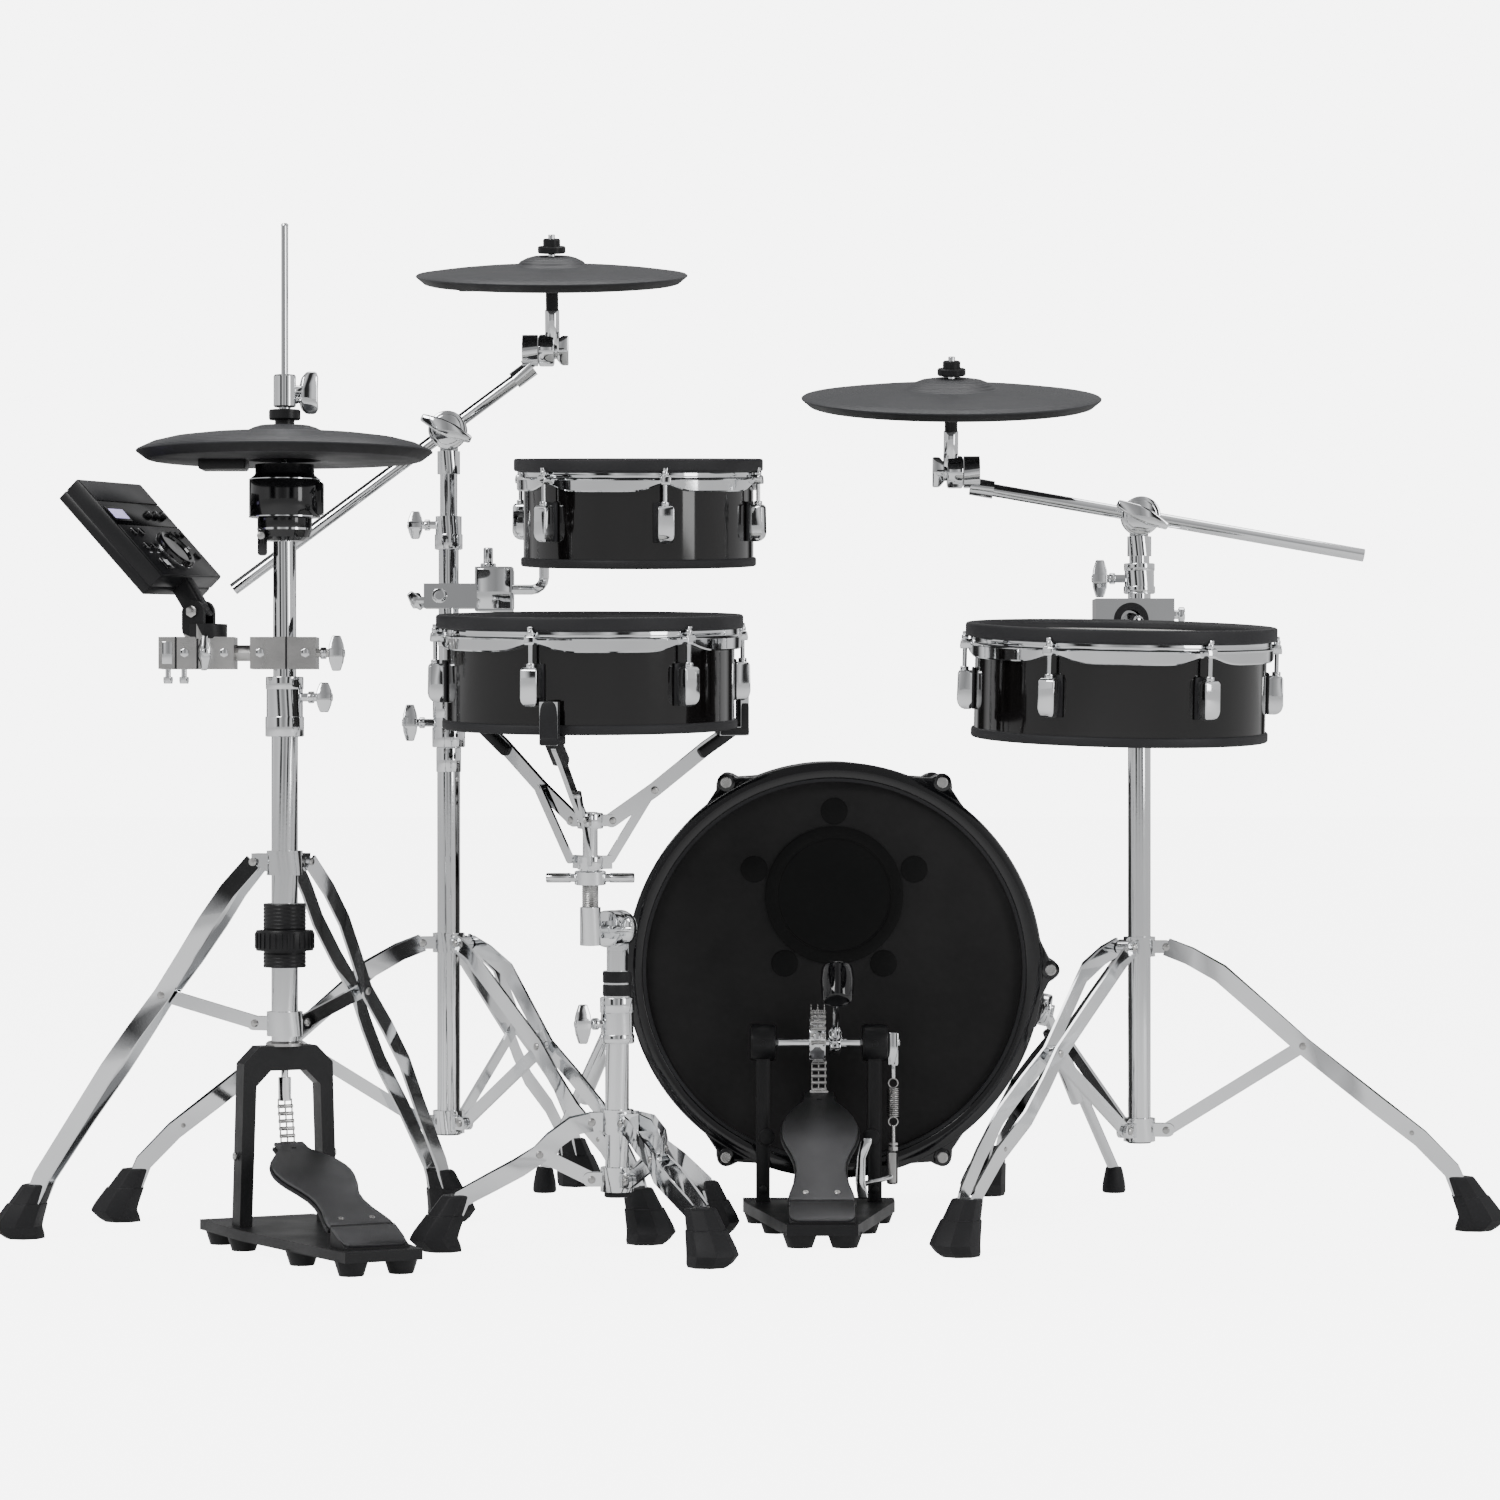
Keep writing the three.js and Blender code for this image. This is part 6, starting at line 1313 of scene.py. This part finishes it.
for screw, (x, y) in zip(case_screws, ((-0.068, -0.061), (0.068, -0.061), (-0.068, 0.061), (0.068, 0.061))):
    screw.data.transform(Matrix.Translation((x, y, 0)))
fit(joined(case_screws), "module_case_screws", steel, module, slab_place)
ports = [rod((x, module_height / 2 - 0.0004, -0.015), (x, module_height / 2 + 0.0010, -0.015), 0.0048, 24,
             0.0005)
         for x in (-0.055, -0.038, -0.021, 0.010, 0.028)]
fit(joined(ports), "module_jack_rings", steel, module, slab_place)
tongue = loft(4, [(-0.010, 0.0105, 0.0092, 0, 0), (0.012, 0.0112, 0.0092, 0, 0),
                  (0.030, 0.0112, 0.0092, 0, 0), (0.045, 0.0100, 0.0088, 0, 0)])
soften(tongue, 0.003, 3, 30)
tongue.data.transform(Matrix.Translation(module_tilt) @ module_turn
                      @ Matrix.Rotation(math.radians(-32.8), 4, "Y"))
fit(tongue, "module_tongue", casting, module)
tilt_bolt = rod((0, -0.0162, 0), (0, 0.0162, 0), 0.0038, 24, 0.0006)
tilt_heads = [rod((0, sign * 0.0158, 0), (0, sign * 0.0192, 0), 0.0068, 6, 0.0008) for sign in (-1, 1)]
clamp_body = joints["module_tilt"]["parent"]
fit(joined([tilt_bolt, *tilt_heads]), "module_tilt_bolt", steel, clamp_body,
    Matrix.Translation(module_tilt) @ module_turn)
module_arm = Matrix.Translation((hihat_base.x, hihat_base.y, 0))
module_level, knuckle_low = 0.633, 0.6535
clamp_node = frame["nodes"]["module_clamp"]
clamp_node.data.materials.append(steel)
for face in clamp_node.data.polygons:
    if (clamp_node.matrix_world @ face.center).z < knuckle_low:
        face.material_index = 1
clamp_bolts = [rod((x, -0.0185, module_level), (x, -0.0222, module_level), 0.0052, 6, 0.0008)
               for x in (-0.024, 0.024, -0.062, -0.104)]
cap_nuts = [turned([(0.0046, 0.6005), (0.0052, 0.6030), (0.0052, 0.6075), (0.0030, 0.6080),
                    (0.0030, 0.6160)], 24)
            for _ in range(2)]
for nut_here, x in zip(cap_nuts, (-0.124, -0.107)):
    nut_here.data.transform(Matrix.Translation((x, 0, 0)))
clamp_inset = box((0.011, 0.0030, 0.024), (-0.1225, -0.0190, module_level), 0.0008)
fit(joined([*clamp_bolts, *cap_nuts, clamp_inset]), "module_clamp_bolts", chrome, clamp_body,
    module_arm)
# Thin dark rubber strips on the clamp's face stand for its slits: painted shade where the slits are.
clamp_slit_painted_shade = [box((0.0022, 0.0012, 0.0345), (x, -0.0187, module_level), 0.0003)
              for x in (-0.1135, -0.0905, 0.0035)]
fit(joined(clamp_slit_painted_shade), "module_clamp_gaps", foot_rubber, clamp_body, module_arm)
for name, origin_x, turn, reach, span in (("module_clamp_wing", 0, 0, 0.055, 0.036),
                                          ("module_holder_wing", -0.092, -70, 0.028, 0.036)):
    wing_turn = module_arm @ Matrix.Translation((origin_x, 0, 0)) @ Matrix.Rotation(math.radians(turn), 4,
                                                                                    "Z")
    clamp_wing(name, wing_turn, reach, module_level, span, clamp_body)


# ------------------------------------------------------------------ snare basket
# Three arms open from two collars on a threaded stem, and a nut with two handles closes them. Each arm
# ends in a black rubber claw that holds the drum's lower edge.
tilter_centre = pin("snare_basket_tilt")
stem_frame = snare_place @ Matrix.Translation((0, 0, -0.212))
stem_thread = []
for k in range(12):
    z = 0.0245 + k * 0.0019
    stem_thread += [(0.0083, z), (0.0089, z + 0.0009)]
thread_ring = turned([(0.0070, 0.0242), *stem_thread, (0.0070, 0.0475)], 40, True)
fit(thread_ring, "snare_stem_thread", steel, "snare_basket_body", stem_frame)
handle_grips = [rod((sign * 0.020, 0, 0.055), (sign * 0.0465, 0, 0.055), 0.0052, 32, 0.0014)
                for sign in (-1, 1)]
nut_ring = turned([(0.0155, 0.0478), (0.0165, 0.0484), (0.0165, 0.0616), (0.0155, 0.0622),
                   (0.009, 0.0622), (0.009, 0.0478)], 64, True)
collar_rings = [turned([(0.009, z), (0.0138, z), (0.0138, z + h), (0.009, z + h)], 64, True) for z,
                h in ((0.0645, 0.0132), (0.1075, 0.0152))]
for ring in collar_rings:
    soften(ring, 0.0012)
fit(joined([*handle_grips, nut_ring, *collar_rings]), "snare_stem_collars", chrome, "snare_basket_body",
    stem_frame)
for k, bearing in enumerate((18, 138, 258), 1):
    body = f"snare_arm_{k}_body"
    arm = stem_frame @ Matrix.Rotation(math.radians(bearing), 4, "Z")
    claw_base = box((0.0335, 0.0202, 0.0098), (0.1562, 0, 0.2070), 0.0024)
    claw_lip = loft(4, [(0.2025, 0.0050, 0.0101, 0.1676, 0), (0.232, 0.0050, 0.0099, 0.1676, 0),
                        (0.240, 0.0049, 0.0092, 0.1676, 0),
                        (0.2445, 0.0047, 0.0076, 0.1678, 0), (0.2474, 0.0043, 0.0050, 0.1680, 0)])
    sleeve = box((0.046, 0.0175, 0.0112), (0, 0, 0), 0.0028)
    sleeve.data.transform(Matrix.Translation((0.1385, 0, 0.1955))
                          @ Matrix.Rotation(math.radians(-34), 4, "Y"))
    soften(claw_lip, 0.0018, 3, 20)
    fit(joined([claw_base, claw_lip, sleeve]), f"snare_claw_{k}", foot_rubber, body, arm)
    pins = []
    for x, z, half in ((0.023, 0.115, 0.0052), (0.070, 0.146, 0.0030), (0.128, 0.190, 0.0030)):
        pins += rivet(x, z, half, 0.0040)
    fit(joined(pins), f"snare_arm_rivets_{k}", steel, body, arm)
snare_disc_turn = Matrix.Translation(tilter_centre) @ Matrix.Rotation(math.radians(240.5 - 270), 4, "Z")
disc_cover = rod((0, -0.0066, 0), (0, -0.0242, 0), 0.0196, 64, 0.0026)
disc_back = rod((0, 0.0102, 0), (0, -0.0058, 0), 0.0194, 64, 0.0022)
fit(disc_cover, "snare_tilter_disc", chrome, "snare_basket_body", snare_disc_turn)
fit(disc_back, "snare_tilter_back", chrome, "snare_mast_body", snare_disc_turn)
tilter_wing = loft(4, [(-0.013, 0.004, 0.0026, 0, 0), (-0.006, 0.0072, 0.0040, 0, 0),
                       (0.006, 0.0072, 0.0040, 0, 0), (0.013, 0.004, 0.0026, 0, 0)])
soften(tilter_wing, 0.0018, 3, 20)
tilter_wing.data.transform(Matrix.Translation((0.026, -0.022, 0)))
tilter_hub = rod((0.010, -0.022, 0), (0.0335, -0.022, 0), 0.0050, 24, 0.001)
fit(joined([tilter_wing, tilter_hub]), "snare_tilter_wing", chrome, "snare_basket_body",
    snare_disc_turn)


# ------------------------------------------------------------------ drum clamps
# The rack tom's clamp has a round hex socket in its face and a tall screw on top. The floor tom's clamp
# holds its rod in a round dark hole, with a small knob at the right.
crash_axis = Matrix.Translation((stand_foot["crash"].x, stand_foot["crash"].y, 0))
tom_screw = joined([rod((0.045, 0, 0.737), (0.045, 0, 0.7425), 0.0090, 48, 0.0012),
                    rod((0.045, 0, 0.742), (0.045, 0, 0.7604), 0.0056, 32, 0.0014)])
tom_socket = turned([(0.0085, 0.0), (0.0085, 0.0009), (0.0072, 0.0016), (0.0040, 0.0016),
                     (0.0040, 0.0006), (0.0003, 0.0006)], 48)
tom_socket.data.transform(Matrix.Translation((-0.009, -0.0209, 0.705))
                          @ Matrix.Rotation(math.radians(90), 4, "X"))
tom_plate = box((0.0430, 0.0432, 0.0505), (0.0523, 0, 0.713), 0.004)
fit(joined([tom_screw, tom_socket, tom_plate]), "tom_clamp_fittings", chrome, "tom_clamp_body",
    crash_axis)
tom_wing = loft(4, [(-0.012, 0.0036, 0.0024, 0, 0), (0, 0.0072, 0.0040, 0, 0),
                    (0.012, 0.0036, 0.0024, 0, 0)])
soften(tom_wing, 0.0018, 3, 20)
tom_wing.data.transform(Matrix.Translation((-0.0375, 0, 0.700))
                        @ Matrix.Rotation(math.radians(-40), 4, "Y"))
fit(tom_wing, "tom_clamp_wing", chrome, "tom_clamp_body", crash_axis)
ride_axis = Matrix.Translation((stand_foot["ride"].x, stand_foot["ride"].y, 0))
hole_rim = turned([(0.0115, -0.0006), (0.0180, -0.0006), (0.0192, 0.0004), (0.0192, 0.0016),
                   (0.0115, 0.0016)], 64, True)
hole_rim.data.transform(Matrix.Translation((-0.012, -0.0345, 0.674))
                        @ Matrix.Rotation(math.radians(90), 4, "X"))
side_knob = joined([rod((0.0355, 0, 0.681), (0.0440, 0, 0.681), 0.0052, 32, 0.001),
                    rod((0.0435, 0, 0.681), (0.0505, 0, 0.681), 0.0082, 12, 0.0012)])
fit(side_knob, "floor_tom_clamp_knob", chrome, "floor_tom_clamp_body", ride_axis)
fit(hole_rim, "floor_tom_clamp_bush", foot_rubber, "floor_tom_clamp_body", ride_axis)
